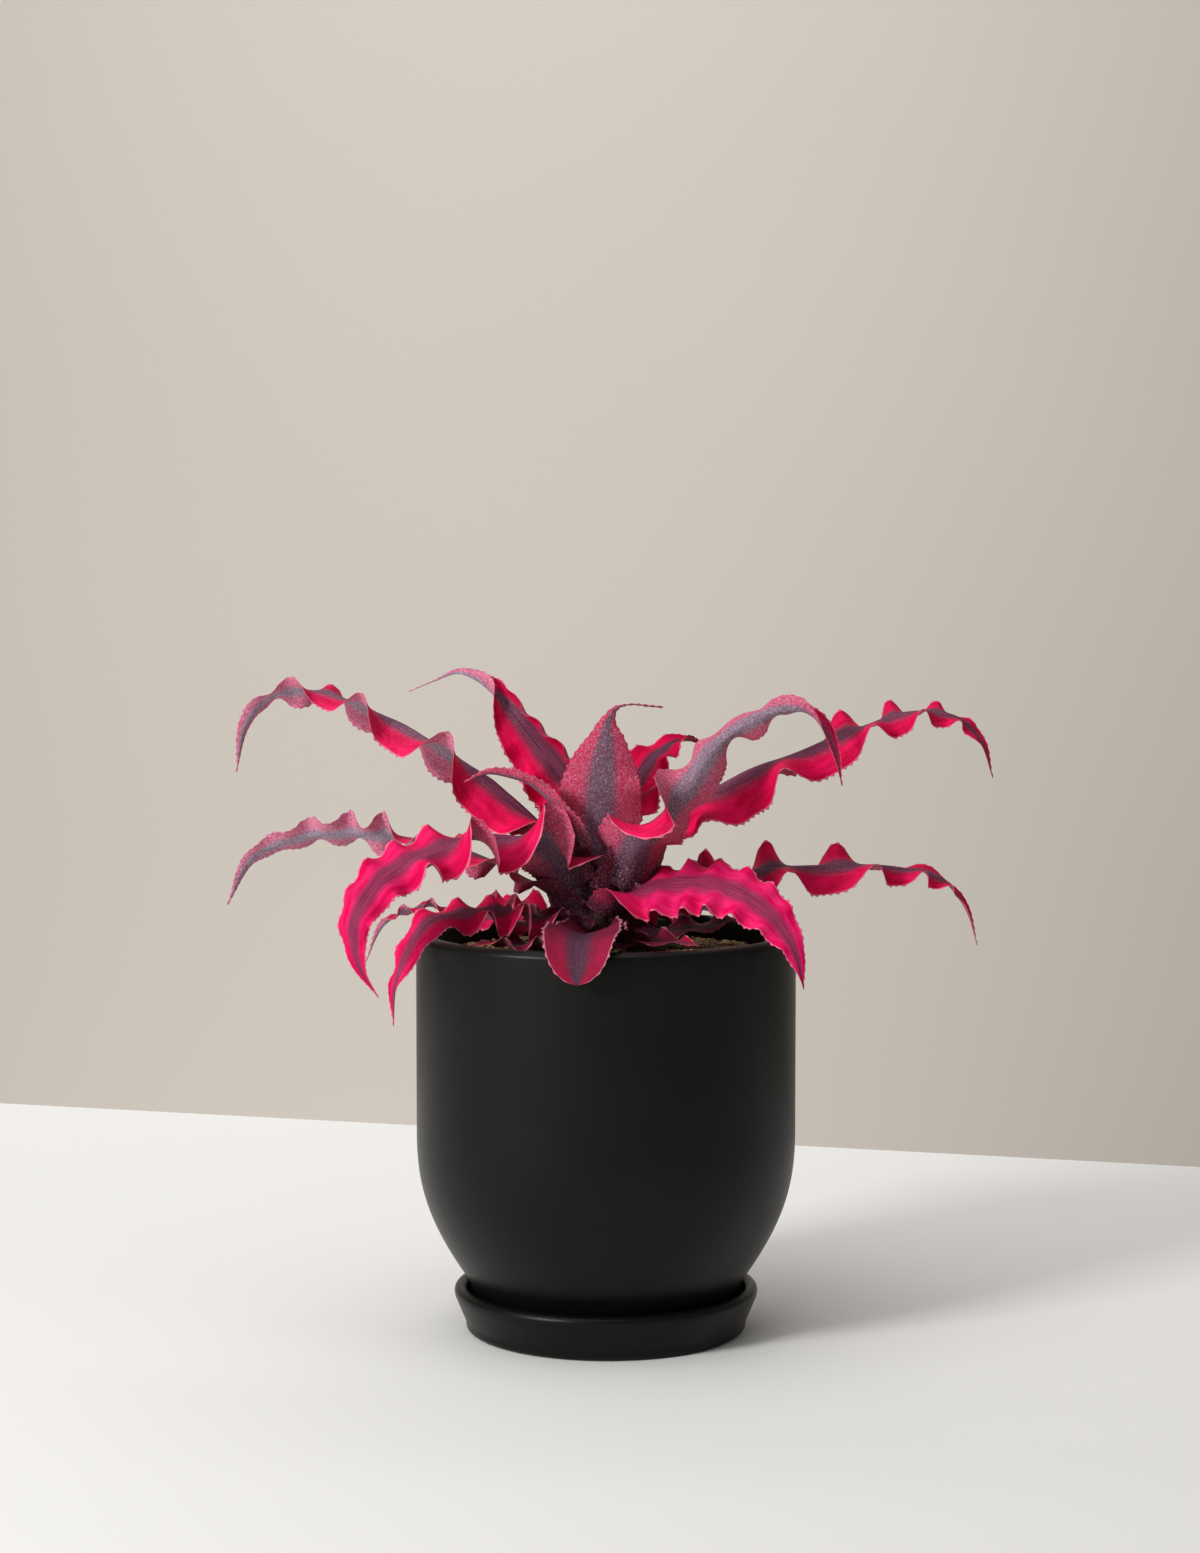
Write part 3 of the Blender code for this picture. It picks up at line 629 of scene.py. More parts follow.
def blade_pattern(tree, along, across, detail=3.0, roughness=0.55):
    """Noise on the blade's own map, with this many features to the metre along it and across it."""
    uv = add_node(tree, "ShaderNodeUVMap", uv_map="surface").outputs["UV"]
    scaled = add_node(tree, "ShaderNodeMapping", {"Vector": uv, "Scale": (along, across, 1.0)}).outputs["Vector"]
    return noise(tree, scaled, 1.0, detail, roughness)


def band_mask(tree, inner, outer, wobble):
    """0 on the middle band and 1 on the margin, with a feathered edge that wobbles along the leaf."""
    shift = times(tree, calculate(tree, "SUBTRACT", wobble, 0.5), BAND_WOBBLE)
    shifted = calculate(tree, "ADD", leaf_value(tree, "across"), shift)
    return mask(tree, shifted, inner, outer)


def speckle(tree, size, low, high):
    """Small round scales: noise with features of this size in metres, cut off to dots."""
    place = add_node(tree, "ShaderNodeTexCoord").outputs["Object"]
    return mask(tree, noise(tree, place, 1.0 / size, detail=2.0, roughness=0.6), low, high)


print("streaks push the margin's colour in by up to", BAND_WOBBLE / 2, "of the half width")

# %% [markdown]
# The upper side is seen on the leaves that fold over the rim. It is smooth and a little waxy, dull maroon in
# the middle and crimson at the margins, with hardly any scurf. A painted map would need every leaf unrolled
# by hand, so each colour is a pair that streaks or blotches mix, and masks lay one pair over another.

# %% The upper side
DULL_BAND = ((0.055, 0.008, 0.024), (0.160, 0.040, 0.085))
ROSY_BAND = ((0.24, 0.012, 0.065), (0.48, 0.055, 0.150))
FROSTED_BAND = ((0.15, 0.085, 0.135), (0.32, 0.235, 0.315))
DEEP_MARGIN = ((0.50, 0.000, 0.034), (0.74, 0.000, 0.072))
HOT_MARGIN = ((0.72, 0.000, 0.090), (0.92, 0.028, 0.190))
MARGIN_STREAK = (0.36, 0.000, 0.040)
UPPER_SCURF = (0.56, 0.44, 0.54)
UPPER_SHEATH_AND_SHADE = (0.055, 0.016, 0.034)
TEETH_PINK = (0.82, 0.33, 0.42)
UPPER_FROST_SHARE = 0.35


def upper_finish():
    """Maroon band, crimson margin, streaks along the blade, thin scurf and a pale toothed edge."""
    material, tree, shader, _ = new_finish("leaf_upper_side", roughness=0.55, specular=0.04)
    tone = leaf_value(tree, "tone")
    frost = times(tree, leaf_value(tree, "frost"), UPPER_FROST_SHARE)
    foot = leaf_value(tree, "foot")
    streaks = blade_pattern(tree, 45.0, 2200.0, detail=4.0, roughness=0.65)
    blotches = blade_pattern(tree, 110.0, 260.0)
    margin = band_mask(tree, 0.20, 0.54, streaks)
    dull = two_tone(tree, streaks, 0.35, 0.68, DULL_BAND)
    rosy = two_tone(tree, streaks, 0.35, 0.68, ROSY_BAND)
    frosted = two_tone(tree, streaks, 0.3, 0.7, FROSTED_BAND)
    band = blend(tree, frost, blend(tree, tone, dull, rosy), frosted)
    deep = two_tone(tree, blotches, 0.3, 0.7, DEEP_MARGIN)
    hot = two_tone(tree, blotches, 0.3, 0.7, HOT_MARGIN)
    dark_streaks = times(tree, mask(tree, streaks, 0.5, 0.75), 0.35)
    rim_colour = blend(tree, dark_streaks, blend(tree, tone, deep, hot), MARGIN_STREAK)
    colour = blend(tree, margin, band, rim_colour)
    dust = times(tree, speckle(tree, 0.00045, 0.46, 0.62), frost)
    dust = times(tree, dust, calculate(tree, "SUBTRACT", 1.0, times(tree, margin, 0.75)))
    colour = blend(tree, dust, colour, UPPER_SCURF)
    # Darker purple towards the sheath. On the leaf over the front rim and the leaves on the mix it covers most of
    # the blade as painted shade.
    colour = blend(tree, times(tree, foot, 0.85), colour, UPPER_SHEATH_AND_SHADE)
    edge = mask(tree, leaf_value(tree, "across"), 0.965, 1.0)
    colour = blend(tree, times(tree, edge, 0.45), colour, TEETH_PINK)
    set_colour(tree, shader, colour)
    add_bump(tree, shader, streaks, 0.00022)
    return material


upper_side = upper_finish()
print("finish ready:", upper_side.name)

# %% [markdown]
# The underside is what the standing leaves and the long side leaves show. Scurf covers it like frost, so its
# band is lilac-grey and its margins pale pink, with fine pale dots and coarser dark ones where scales have
# rubbed off. The dots are noise cut off at a level, because thousands of modelled scales would be too small to
# see. At the sheath the scurf thins out over dark purple, and on the low leaves that darkening reaches far up
# the blade as painted shade.

# %% The underside
BARE_BAND = (0.080, 0.020, 0.046)
SCALY_BAND = (0.400, 0.330, 0.430)
BARE_MARGINS = ((0.50, 0.000, 0.048), (0.78, 0.030, 0.140))
SCALY_MARGIN = (0.80, 0.24, 0.39)
FINE_SCALES = (0.66, 0.48, 0.60)
RUBBED_SPOTS = (0.22, 0.012, 0.060)
UNDER_SHEATH_AND_SHADE = (0.050, 0.016, 0.034)
SHEATH_SCALES = (0.55, 0.28, 0.38)


def under_finish():
    """Lilac-grey band and pink margins under white scales, darker and barer where there is less scurf."""
    material, tree, shader, _ = new_finish("leaf_underside", roughness=0.6, specular=0.08)
    frost = leaf_value(tree, "frost")
    tone = leaf_value(tree, "tone")
    foot = leaf_value(tree, "foot")
    streaks = blade_pattern(tree, 90.0, 1500.0, detail=4.0, roughness=0.65)
    margin = band_mask(tree, 0.24, 0.54, streaks)
    band = blend(tree, frost, BARE_BAND, SCALY_BAND)
    rim_colour = blend(tree, times(tree, frost, 0.75), blend(tree, tone, *BARE_MARGINS), SCALY_MARGIN)
    colour = blend(tree, margin, band, rim_colour)
    fine = speckle(tree, 0.0005, 0.47, 0.59)
    cover = times(tree, fine, calculate(tree, "ADD", times(tree, frost, 0.45), 0.22))
    colour = blend(tree, cover, colour, FINE_SCALES)
    colour = blend(tree, times(tree, speckle(tree, 0.0009, 0.50, 0.62), 0.45), colour, RUBBED_SPOTS)
    # Darker purple towards the sheath. On the low leaves it covers most of the blade as painted shade.
    colour = blend(tree, times(tree, foot, 0.80), colour, UNDER_SHEATH_AND_SHADE)
    scurf = times(tree, speckle(tree, 0.0006, 0.52, 0.62), times(tree, foot, 0.60))
    colour = blend(tree, scurf, colour, SHEATH_SCALES)
    set_colour(tree, shader, colour)
    relief = calculate(tree, "ADD", times(tree, fine, 0.5), times(tree, streaks, 0.5))
    add_bump(tree, shader, relief, 0.00025)
    return material


underside = under_finish()
print("finish ready:", underside.name)

# %% [markdown]
# ## The shape of a leaf
# A real leaf is a strap that is folded along its midrib, and its two halves ruffle on their own. So a leaf
# is worked out in three steps. Its midrib is a smooth curve through a few given places. Its half width
# opens from the sheath and tapers to the tip. And each half folds by an angle that rises and falls along the
# leaf: a margin that stands up at a crest and hangs in a trough. Every place is in millimetres from the foot
# of the crown, the short stem that the leaves grow from.

# %% Midrib
MM = 0.001
CROWN_FOOT = np.array([-0.003, 0.0, 0.129])
TURN_ENDS = (0.05, 0.40)


def ramp(value, low, high):
    """0 below low, 1 above high, and a smooth step between them."""
    s = np.clip((value - low) / (high - low), 0, 1)
    return s * s * (3 - 2 * s)


def smooth_route(knots, share):
    """Points of a smooth curve through the knots, at these shares of its length.

    Between two knots it is the cubic Hermite curve: each knot and its slope, weighted by the cubic
    polynomials in s, the share of the way from one knot to the next.
    """
    knots = np.asarray(knots, float)
    steps = np.linalg.norm(np.diff(knots[:, :3], axis=0), axis=1)
    reach = np.concatenate(([0], np.cumsum(steps)))
    slope = np.gradient(knots, reach, axis=0)
    at = np.asarray(share) * reach[-1]
    i = np.clip(np.searchsorted(reach, at, side="right") - 1, 0, len(reach) - 2)
    gap = (reach[i + 1] - reach[i])[:, None]
    s = (at - reach[i])[:, None] / gap
    start = (2 * s**3 - 3 * s**2 + 1) * knots[i] + (s**3 - 2 * s**2 + s) * gap * slope[i]
    end = (3 * s**2 - 2 * s**3) * knots[i + 1] + (s**3 - s**2) * gap * slope[i + 1]
    return start + end


def leaf_frame(spec, share):
    """Midrib points with the side and upper directions across it, as arrays.

    The side direction is level and square to the heading, tipped only as far as the midrib makes it. For a
    leaf that stands with its underside to the front, the upper side faces the direction "back" instead.
    Roll then turns both directions about the midrib, and foot_turn turns the sheath a little more.
    """
    route = smooth_route(spec["route"], share)
    heading = np.radians(spec["heading"])
    along = np.array([np.cos(heading), np.sin(heading), 0])
    aside = np.array([-np.sin(heading), np.cos(heading), 0])
    up = np.array([0, 0, 1.0])
    midrib = route[:, :1] * along + route[:, 1:2] * aside + route[:, 2:3] * up
    tangent = np.gradient(midrib, axis=0)
    tangent /= np.linalg.norm(tangent, axis=1)[:, None]
    if "back" in spec:
        back = np.radians(spec["back"])
        facing = np.array([np.cos(back), np.sin(back), 0])
        upper = facing - (tangent @ facing)[:, None] * tangent
        upper /= np.linalg.norm(upper, axis=1)[:, None]
        side = np.cross(upper, tangent)
    else:
        side = aside - (tangent @ aside)[:, None] * tangent
        side /= np.linalg.norm(side, axis=1)[:, None]
        upper = np.cross(tangent, side)
    roll = np.radians(route[:, 3:4] + spec["foot_turn"] * (1 - ramp(share, *TURN_ENDS))[:, None])
    return midrib, side * np.cos(roll) + upper * np.sin(roll), upper * np.cos(roll) - side * np.sin(roll)


arch = smooth_route([(0, 0, 0, 0), (30, 0, 20, 0), (60, 0, 0, 0)], np.linspace(0, 1, 50))
print("a midrib whose middle place is 20 mm up reaches", round(float(arch[:, 2].max()), 1), "mm")

# %% [markdown]
# A leaf is widest about a third of the way along and narrows to a point. Its ruffle could come from a cloth
# simulation, but then no crest would be where it is on the real plant. Here every crest is given by its place
# and its angle, and the troughs between them by one angle or a few.

# %% Width and fold
LEAF_LEAST_HALF_WIDTH = 0.18
FOOT_WIDTH = 0.8
CLASP_ANGLE = 45
CLASP_ENDS = (0.06, 0.2)
TIP_BLEND = 0.1


def half_width(share, spec):
    """Half the blade's width: width times (1 - share^fall)^thin, narrower towards the sheath."""
    taper = np.clip(1 - share ** spec.get("fall", 2.2), 0, 1) ** spec.get("thin", 1.25)
    opening = spec["foot_width"] + (1 - spec["foot_width"]) * ramp(share, 0.0, spec.get("open", 0.3))
    return np.maximum(spec["width"] * taper * opening, LEAF_LEAST_HALF_WIDTH)


def fold_angle(share, side, spec):
    """Fold of half the blade in degrees: clasping at the sheath, ruffled, and evenly folded at the tip.

    The ruffle is the trough's angle plus a bump at each crest, and a bump is (0.5 + 0.5 cos) to a power,
    so a larger power gives narrow crests between wide troughs.
    """
    troughs, crests, narrow = side
    places = np.array([place for place, _ in crests])
    heights = np.array([height for _, height in crests], float)
    ends = np.concatenate(([2 * places[0] - places[1]], places, [2 * places[-1] - places[-2]]))
    turn = np.interp(share, ends, np.arange(len(ends)))
    crest = (0.5 + 0.5 * np.cos(2 * np.pi * turn)) ** narrow
    if isinstance(troughs, list):
        trough = np.interp(share, [place for place, _ in troughs], [angle for _, angle in troughs])
    else:
        trough = troughs
    angle = trough + (np.interp(share, places, heights) - trough) * crest
    foot = 1 - ramp(share, *CLASP_ENDS)
    last = spec.get("last", 0.84)
    tip = ramp(share, last, last + TIP_BLEND)
    angle = CLASP_ANGLE * foot + angle * (1 - foot)
    return angle * (1 - tip) + spec.get("tip_fold", 60) * tip


half_way = half_width(np.array([0.5]), dict(width=15, foot_width=FOOT_WIDTH))
print("a leaf 15 mm in half width still has", round(float(half_way[0]), 1), "mm half way along")

# %% [markdown]
# The margin carries soft teeth, about two and a half millimetres apart. Each tooth could be a cone of its own,
# but then it would meet the blade at a crease. Instead the sheet has five stations for each tooth, and its
# outermost column moves out and in by the tooth's shape.

# %% Sheet with a toothed edge
CELLS_A_SIDE = 9
TOOTH_STEP_MM = 2.4
STATIONS_A_TOOTH = 5
TOOTH_SHAPE = np.array([0.10, 0.35, 0.65, 1.0, 0.30])
TOOTH_MM = 1.15
FLUTTER_MM = 0.45
FLUTTER_STEP_MM = 4.5


def blade(spec, share, seed):
    """The leaf as one sheet of points (station, place across, xyz) in millimetres, and each column's place.

    Each half is an arc that leaves the midrib at half its fold angle and reaches one and a half times it at
    the margin. A flutter grows towards the margin with the cube of the place across, and one more column of
    points beyond the margin makes the teeth.
    """
    midrib, side, upper = leaf_frame(spec, share)
    length = np.concatenate(([0], np.cumsum(np.linalg.norm(np.diff(midrib, axis=0), axis=1))))
    width = half_width(share, spec)[:, None]
    across = (np.arange(CELLS_A_SIDE) + 0.5) / CELLS_A_SIDE
    place = np.append(across + 0.5 / CELLS_A_SIDE, 1.0 + 1e-3)
    slim = np.minimum(width / spec["width"], 1.0)
    halves = []
    for hand, folds in ((1, spec["left"]), (-1, spec["right"])):
        slope = np.radians(fold_angle(share, folds, spec))[:, None] * (0.5 + across)
        tooth = np.tile(TOOTH_SHAPE, len(share) // STATIONS_A_TOOTH + 1)[:len(share)]
        uneven = 0.75 + 0.25 * wander(length, TOOTH_STEP_MM, seed + hand)
        tooth_mm = (TOOTH_MM * tooth * uneven * (0.35 + 0.65 * slim[:, 0]))[:, None]
        out = np.cumsum(np.cos(slope), axis=1) * width / CELLS_A_SIDE
        lift = np.cumsum(np.sin(slope), axis=1) * width / CELLS_A_SIDE
        out = np.concatenate([out, out[:, -1:] + np.cos(slope[:, -1:]) * tooth_mm], axis=1)
        lift = np.concatenate([lift, lift[:, -1:] + np.sin(slope[:, -1:]) * tooth_mm], axis=1)
        flutter = wander(length, FLUTTER_STEP_MM, seed + 7 * hand)[:, None] * slim * np.clip(place, 0, 1) ** 3
        lean = np.concatenate([slope, slope[:, -1:]], axis=1)
        out = out - np.sin(lean) * flutter * FLUTTER_MM
        lift = lift + np.cos(lean) * flutter * FLUTTER_MM
        halves.append(midrib[:, None] + hand * side[:, None] * out[..., None] + upper[:, None] * lift[..., None])
    left, right = halves
    sheet = np.concatenate([right[:, ::-1], midrib[:, None], left], axis=1)
    return sheet, np.concatenate([-place[::-1], [0], place]), length


print("teeth every", TOOTH_STEP_MM, "mm, up to", TOOTH_MM, "mm long")

# %% [markdown]
# A bromeliad's leaf is thick and stiff at the foot and thin at the margin. Blender's Solidify modifier gives
# one even thickness, so the two skins are worked out here, and the blade ends in a thin edge.

# %% Thickness: a sleeve pressed flat
FOOT_THICKNESS_MM = 1.1
TIP_THICKNESS_MM = 0.45
EDGE_THICKNESS_MM = 0.12
GROOVE_MM = 0.22
GROOVE_SHARE = 0.05


def leaf_shell(sheet, place, share):
    """Two skins either side of the sheet, joined round the margins.

    Each skin lies half the thickness along the sheet's normal, which is the cross product of its two
    gradients. The thickness falls from foot to tip, and with the fourth power of the place across it falls
    to a thin edge. A shallow groove runs along the midrib of the upper skin.
    """
    normal = np.cross(np.gradient(sheet, axis=0), np.gradient(sheet, axis=1))
    normal /= np.linalg.norm(normal, axis=-1)[..., None] + 1e-9
    body = FOOT_THICKNESS_MM + (TIP_THICKNESS_MM - FOOT_THICKNESS_MM) * ramp(share, 0.0, 0.7)[:, None]
    body = body * (1 - 0.5 * ramp(share, 0.8, 1.0)[:, None])
    thick = EDGE_THICKNESS_MM + (body - EDGE_THICKNESS_MM) * (1 - np.clip(np.abs(place), 0, 1) ** 4)
    groove = GROOVE_MM * np.exp(-(place / GROOVE_SHARE) ** 2) * (1 - ramp(share, 0.85, 1.0))[:, None]
    top = sheet + normal * (thick / 2 - groove)[..., None]
    under = sheet - normal * (thick / 2)[..., None]
    return np.concatenate([top, under[:, ::-1]], axis=1)


def shell_faces(rows, columns):
    """The sleeve's faces and the faces that shut its two ends, and which of them lie on the underside."""
    ring = 2 * columns
    skin = sleeve_faces(rows, ring)[:, ::-1]
    place = np.arange(columns - 1)
    foot = np.stack([place, place + 1, ring - 2 - place, ring - 1 - place], axis=1)
    tip = foot[:, ::-1] + (rows - 1) * ring
    on_ring = np.tile(np.arange(ring), rows - 1)
    under = np.concatenate([on_ring >= columns, np.zeros(2 * len(foot), bool)])
    return np.concatenate([skin, foot, tip]), under


print("blades", FOOT_THICKNESS_MM, "mm thick at the foot and", EDGE_THICKNESS_MM, "mm at the margin")

# %% [markdown]
# ## The leaves
# Now each leaf gets its measures. A heading is its compass direction, anticlockwise from +X. Its route lists
# places as (along, aside, up, roll): millimetres outwards along the heading, to its left and up, and degrees
# that lift its left edge. "left" and "right" give each half's fold: the angle in the troughs, the crests as
# (share of the length, angle), and how narrow the crests are. Tone and frost are shares of the length with
# an amount. A look can also widen the sheath (foot_width) or turn it about the midrib (foot_turn), so that it
# clasps the stem. The leaves at the back repeat the habit of the others, so the plant is whole from all sides.

# %% Make one leaf
LEAVES = []
SHEATH_FADE = 0.3
ROUGH_STEPS = 60


def leaf(name, heading, width, route, left, right, **more):
    """Keeps a leaf's measures for the step that grows it."""
    LEAVES.append(dict(name=name, heading=heading, width=width, route=route, left=left, right=right, **more))


def along_leaf(amount, share):
    """A number along the leaf: one amount, or amounts at shares of the length with straight lines between."""
    if isinstance(amount, list):
        return np.interp(share, [at for at, _ in amount], [value for _, value in amount])
    return np.full(len(share), float(amount))


def grow(spec, look, seed):
    """One leaf as a piece: a sheet with five stations a tooth, its shell, its map and its steering numbers."""
    spec = dict(spec, foot_width=look.get("foot_width", FOOT_WIDTH), foot_turn=look.get("foot_turn", 0.0))
    rough_route = smooth_route(spec["route"], np.linspace(0, 1, ROUGH_STEPS))[:, :3]
    rough_length = np.linalg.norm(np.diff(rough_route, axis=0), axis=1).sum()
    rows = STATIONS_A_TOOTH * round(rough_length / TOOTH_STEP_MM) + 1
    share = np.linspace(0, 1, rows)
    sheet, place, length = blade(spec, share, seed)
    shell = leaf_shell(sheet, place, share) * MM + CROWN_FOOT
    columns = len(place)
    faces, under = shell_faces(rows, columns)
    around = np.concatenate([place, place[::-1]])
    uv = np.stack(np.broadcast_arrays(length[:, None] * MM, around * spec["width"] * MM), axis=-1)
    amounts = {
        "foot": 1 - ramp(share, look["foot"] * SHEATH_FADE, look["foot"]),
        "tone": along_leaf(look["tone"], share),
        "frost": along_leaf(look["frost"], share),
    }
    numbers = {key: amount[:, None] * np.ones(2 * columns) for key, amount in amounts.items()}
    numbers["across"] = np.abs(np.broadcast_to(around, (rows, 2 * columns)))
    return add_piece(spec["name"] + "_blade", shell, faces, [upper_side, underside],
                     [spec["name"]], under, numbers, uv)


print("along a leaf, tones 0.2 to 0.4 run", along_leaf([(0, 0.2), (1, 0.4)], np.array([0.0, 0.5, 1.0])))

# %% [markdown]
# The four longest leaves reach out level or rising at the two sides, then nod at their tips. Their near
# margins hang in wide lobes and their far margins stand up in narrow crests.

# %% Long leaves at the sides
leaf(
    "leaf_upper_left", 170, 15,
    [(6, 0, 20, 0), (15, 0, 36, 0), (27, 0, 48, 0), (48, 0, 63, 0), (76, 0, 78, 0),
     (98, 0, 85, 5), (112, 0, 83, 22), (121, 0, 74, 40), (125, 0, 57, 45)],
    left=([(0, -85), (1, -15)], [(0.12, 20), (0.41, 33), (0.61, 30), (0.76, 35)], 1.9),
    right=(-58, [(0.10, 10), (0.30, -12), (0.51, -12), (0.70, 20), (0.82, 10)], 1.2),
    last=0.78, tip_fold=25, fall=2.6,
)
leaf(
    "leaf_upper_right_far", -5, 17,
    [(7, 0, 17, 0), (14, 0, 32, 5), (27, 0, 44, 12), (47, 0, 57.5, 14), (66, 0, 65, 10),
     (86, 0, 73, 5), (106, 0, 79, 0), (119, 0, 77, 15), (127, 0, 69, 32), (131, 0, 57, 35)],
    left=([(0.3, -50), (0.48, -45), (0.58, -14)],
          [(0.2, -25), (0.41, -30), (0.615, 38), (0.715, 36), (0.805, 30), (0.88, 20)], 2.2),
    right=([(0.16, 5), (0.32, -66)],
           [(0.12, 15), (0.26, -10), (0.465, 0), (0.67, 0), (0.78, 10), (0.86, 15)], 2.0),
    last=0.84, tip_fold=20, fall=2.5,
)
leaf(
    "leaf_right", 8, 15,
    [(6, 0, 9, 0), (15, 0, 14, 0), (35, 0, 21, 0), (56, 0, 25, 0), (80, 0, 26, 0),
     (104, 0, 25, 0), (118, 0, 21, 12), (127, 0, 10, 28), (131, 0, -2, 30)],
    left=(-15, [(0.09, 40), (0.26, 40), (0.40, 42), (0.565, 46), (0.78, 20)], 2.6),
    right=(-72, [(0.22, 0), (0.42, 0), (0.637, 5), (0.76, 10), (0.84, 20)], 1.6),
    last=0.8, tip_fold=30,
)
leaf(
    "leaf_left", 168, 11.5,
    [(6, 0, 10, 0), (13, 0, 15, 0), (30, 0, 25, 0), (44, 0, 31, 0), (64, 0, 35, 15),
     (84, 0, 36, 30), (105, 0, 34, 34), (121, 0, 27, 38), (130, 0, 11, 45)],
    left=([(0, -20), (0.5, -20), (0.6, 0)],
          [(0.05, 40), (0.22, 20), (0.40, 20), (0.52, 40), (0.60, 44), (0.70, 40), (0.80, 30)], 1.5),
    right=([(0, -58), (0.48, -58), (0.6, 0)],
           [(0.1, 40), (0.22, 45), (0.36, 20), (0.50, 0), (0.60, 20), (0.70, 20), (0.80, 10)], 1.5),
    last=0.82, tip_fold=20, fall=3,
)
print(len(LEAVES), "long leaves measured")

# %% [markdown]
# These leaves come towards the viewer and fold down over the pot's rim, so their upper sides show whole.

# %% Leaves over the front
leaf(
    "leaf_front_right", -33, 13.5,
    [(6, 0, 10, 5), (11, 0, 16, 8), (32, 0, 23, 12), (55, 0, 21, 16), (68, 0, 13, 22),
     (76, 0, 2, 20), (79, 0, -9, 15)],
    left=(4, [(0.1, 20), (0.2, 18), (0.3, 20), (0.42, 22), (0.53, 20), (0.63, 20), (0.72, 18),
              (0.82, 12)], 1.3),
    right=([(0, -60), (0.5, -42), (1, -12)],
           [(0.04, 60), (0.12, -15), (0.27, -26), (0.40, -22), (0.50, -12), (0.62, -10), (0.74, -5),
            (0.85, 0)], 1.3),
    last=0.9, tip_fold=20, fall=3.2,
)
leaf(
    "leaf_front_left", 214, 14,
    [(6, 0, 9, 0), (9, 0, 20, 0), (15, 0, 31, 0), (27, 0, 37, -4), (49, 0, 38, -6),
     (68, 0, 34, -15), (85, 0, 25, -30), (93, 0, 12, -30), (91, 0, 0, -25), (84, 0, -11, -20)],
    left=([(0, -68), (0.55, -66), (0.7, -35), (1, -20)],
          [(0.08, 50), (0.26, 65), (0.46, 50), (0.60, 15), (0.71, -10), (0.8, -5)], 1.3),
    right=(-8, [(0.15, 0), (0.36, 0), (0.50, 22), (0.60, 18), (0.68, 16), (0.75, 14), (0.82, 10)], 1.3),
    last=0.86, tip_fold=20, fall=3,
)
leaf(
    "leaf_low_front_left", 203, 11,
    [(6, 0, 3, 0), (13, 0, 7, -3), (31, 0, 13, -8), (49, 0, 13, -10), (60, 0, 10.5, -15),
     (67, 0, 1, -20), (71, 0, -9, -15), (72, 0, -23, -10)],
    left=([(0, -50), (0.45, -45), (0.6, -20), (1, -10)],
          [(0.14, 35), (0.28, 28), (0.41, 15), (0.56, -8), (0.70, -5)], 1.3),
    right=(-12, [(0.08, 10), (0.2, 12), (0.33, 16), (0.46, 15), (0.6, 10), (0.74, 10)], 1.3),
    last=0.8, tip_fold=40, fall=2.6,
)
leaf(
    "leaf_low_left", 165, 8,
    [(6, 0, 3, 0), (20, 0, 6, 0), (41, 0, 9, 0), (64, 0, 11, 0), (75, 0, 5, 0), (82, 0, -8, 0)],
    left=(-30, [(0.15, 20), (0.3, 25), (0.45, 32), (0.6, 40), (0.72, 45)], 1.3),
    right=(-20, [(0.2, 25), (0.38, 25), (0.52, 25), (0.66, 20)], 1.3),
    last=0.75, tip_fold=65,
)
print(len(LEAVES), "leaves measured so far")

# %% [markdown]
# Two leaves stand up with their undersides to the front. For them "back" is the compass direction that the
# upper side faces, because a level side direction would spin on a leaf that is nearly upright.

# %% Standing leaves
leaf(
    "leaf_upper_right", -90, 12.5,
    [(8, 8, 20, 0), (11, 11.5, 28, 0), (16.5, 14, 36, 0), (24, 20, 44, 0), (27, 29, 54, 0), (27, 37, 66, 0),
     (26, 45, 73, 0), (26, 53, 77.5, 0), (25, 61, 79.5, 20), (24, 68, 79, 90), (23, 74, 73.5, 140),
     (22, 78, 64.5, 160), (21, 80, 55, 165)],
    left=([(0, 5), (0.3, 25), (0.75, 30)],
          [(0.1, 20), (0.32, 45), (0.56, 82), (0.70, 78), (0.84, 30)], 2.0),
    right=([(0.3, -110), (0.42, 55), (0.6, 68), (0.75, 40), (1, 10)],
           [(0.14, 30), (0.44, 80), (0.54, 78), (0.66, 78), (0.78, 30)], 1.0),
    back=100, last=0.78, tip_fold=25,
)
leaf(
    "leaf_centre", -90, 14,
    [(6, 1, 22, 0), (7, 1, 33, 0), (7.5, 1, 42, 0), (8, 1.5, 56, 0), (7, 3, 69, 0), (6, 4, 76, 0),
     (5.5, 6, 79.5, 0), (5, 11, 81, 0), (4, 17, 80.5, 0), (3, 22, 80, 0)],
    left=(12, [(0.1, 20), (0.45, 5), (0.6, 15)], 1.3),
    right=(12, [(0.1, 20), (0.4, 5), (0.6, 15)], 1.3),
    back=90, last=0.66, tip_fold=20, fall=6, thin=11,
)
print(len(LEAVES), "leaves measured so far")

# %% [markdown]
# Behind the middle stand a broad leaf whose thin tail bends to the left, and a small one on the right.

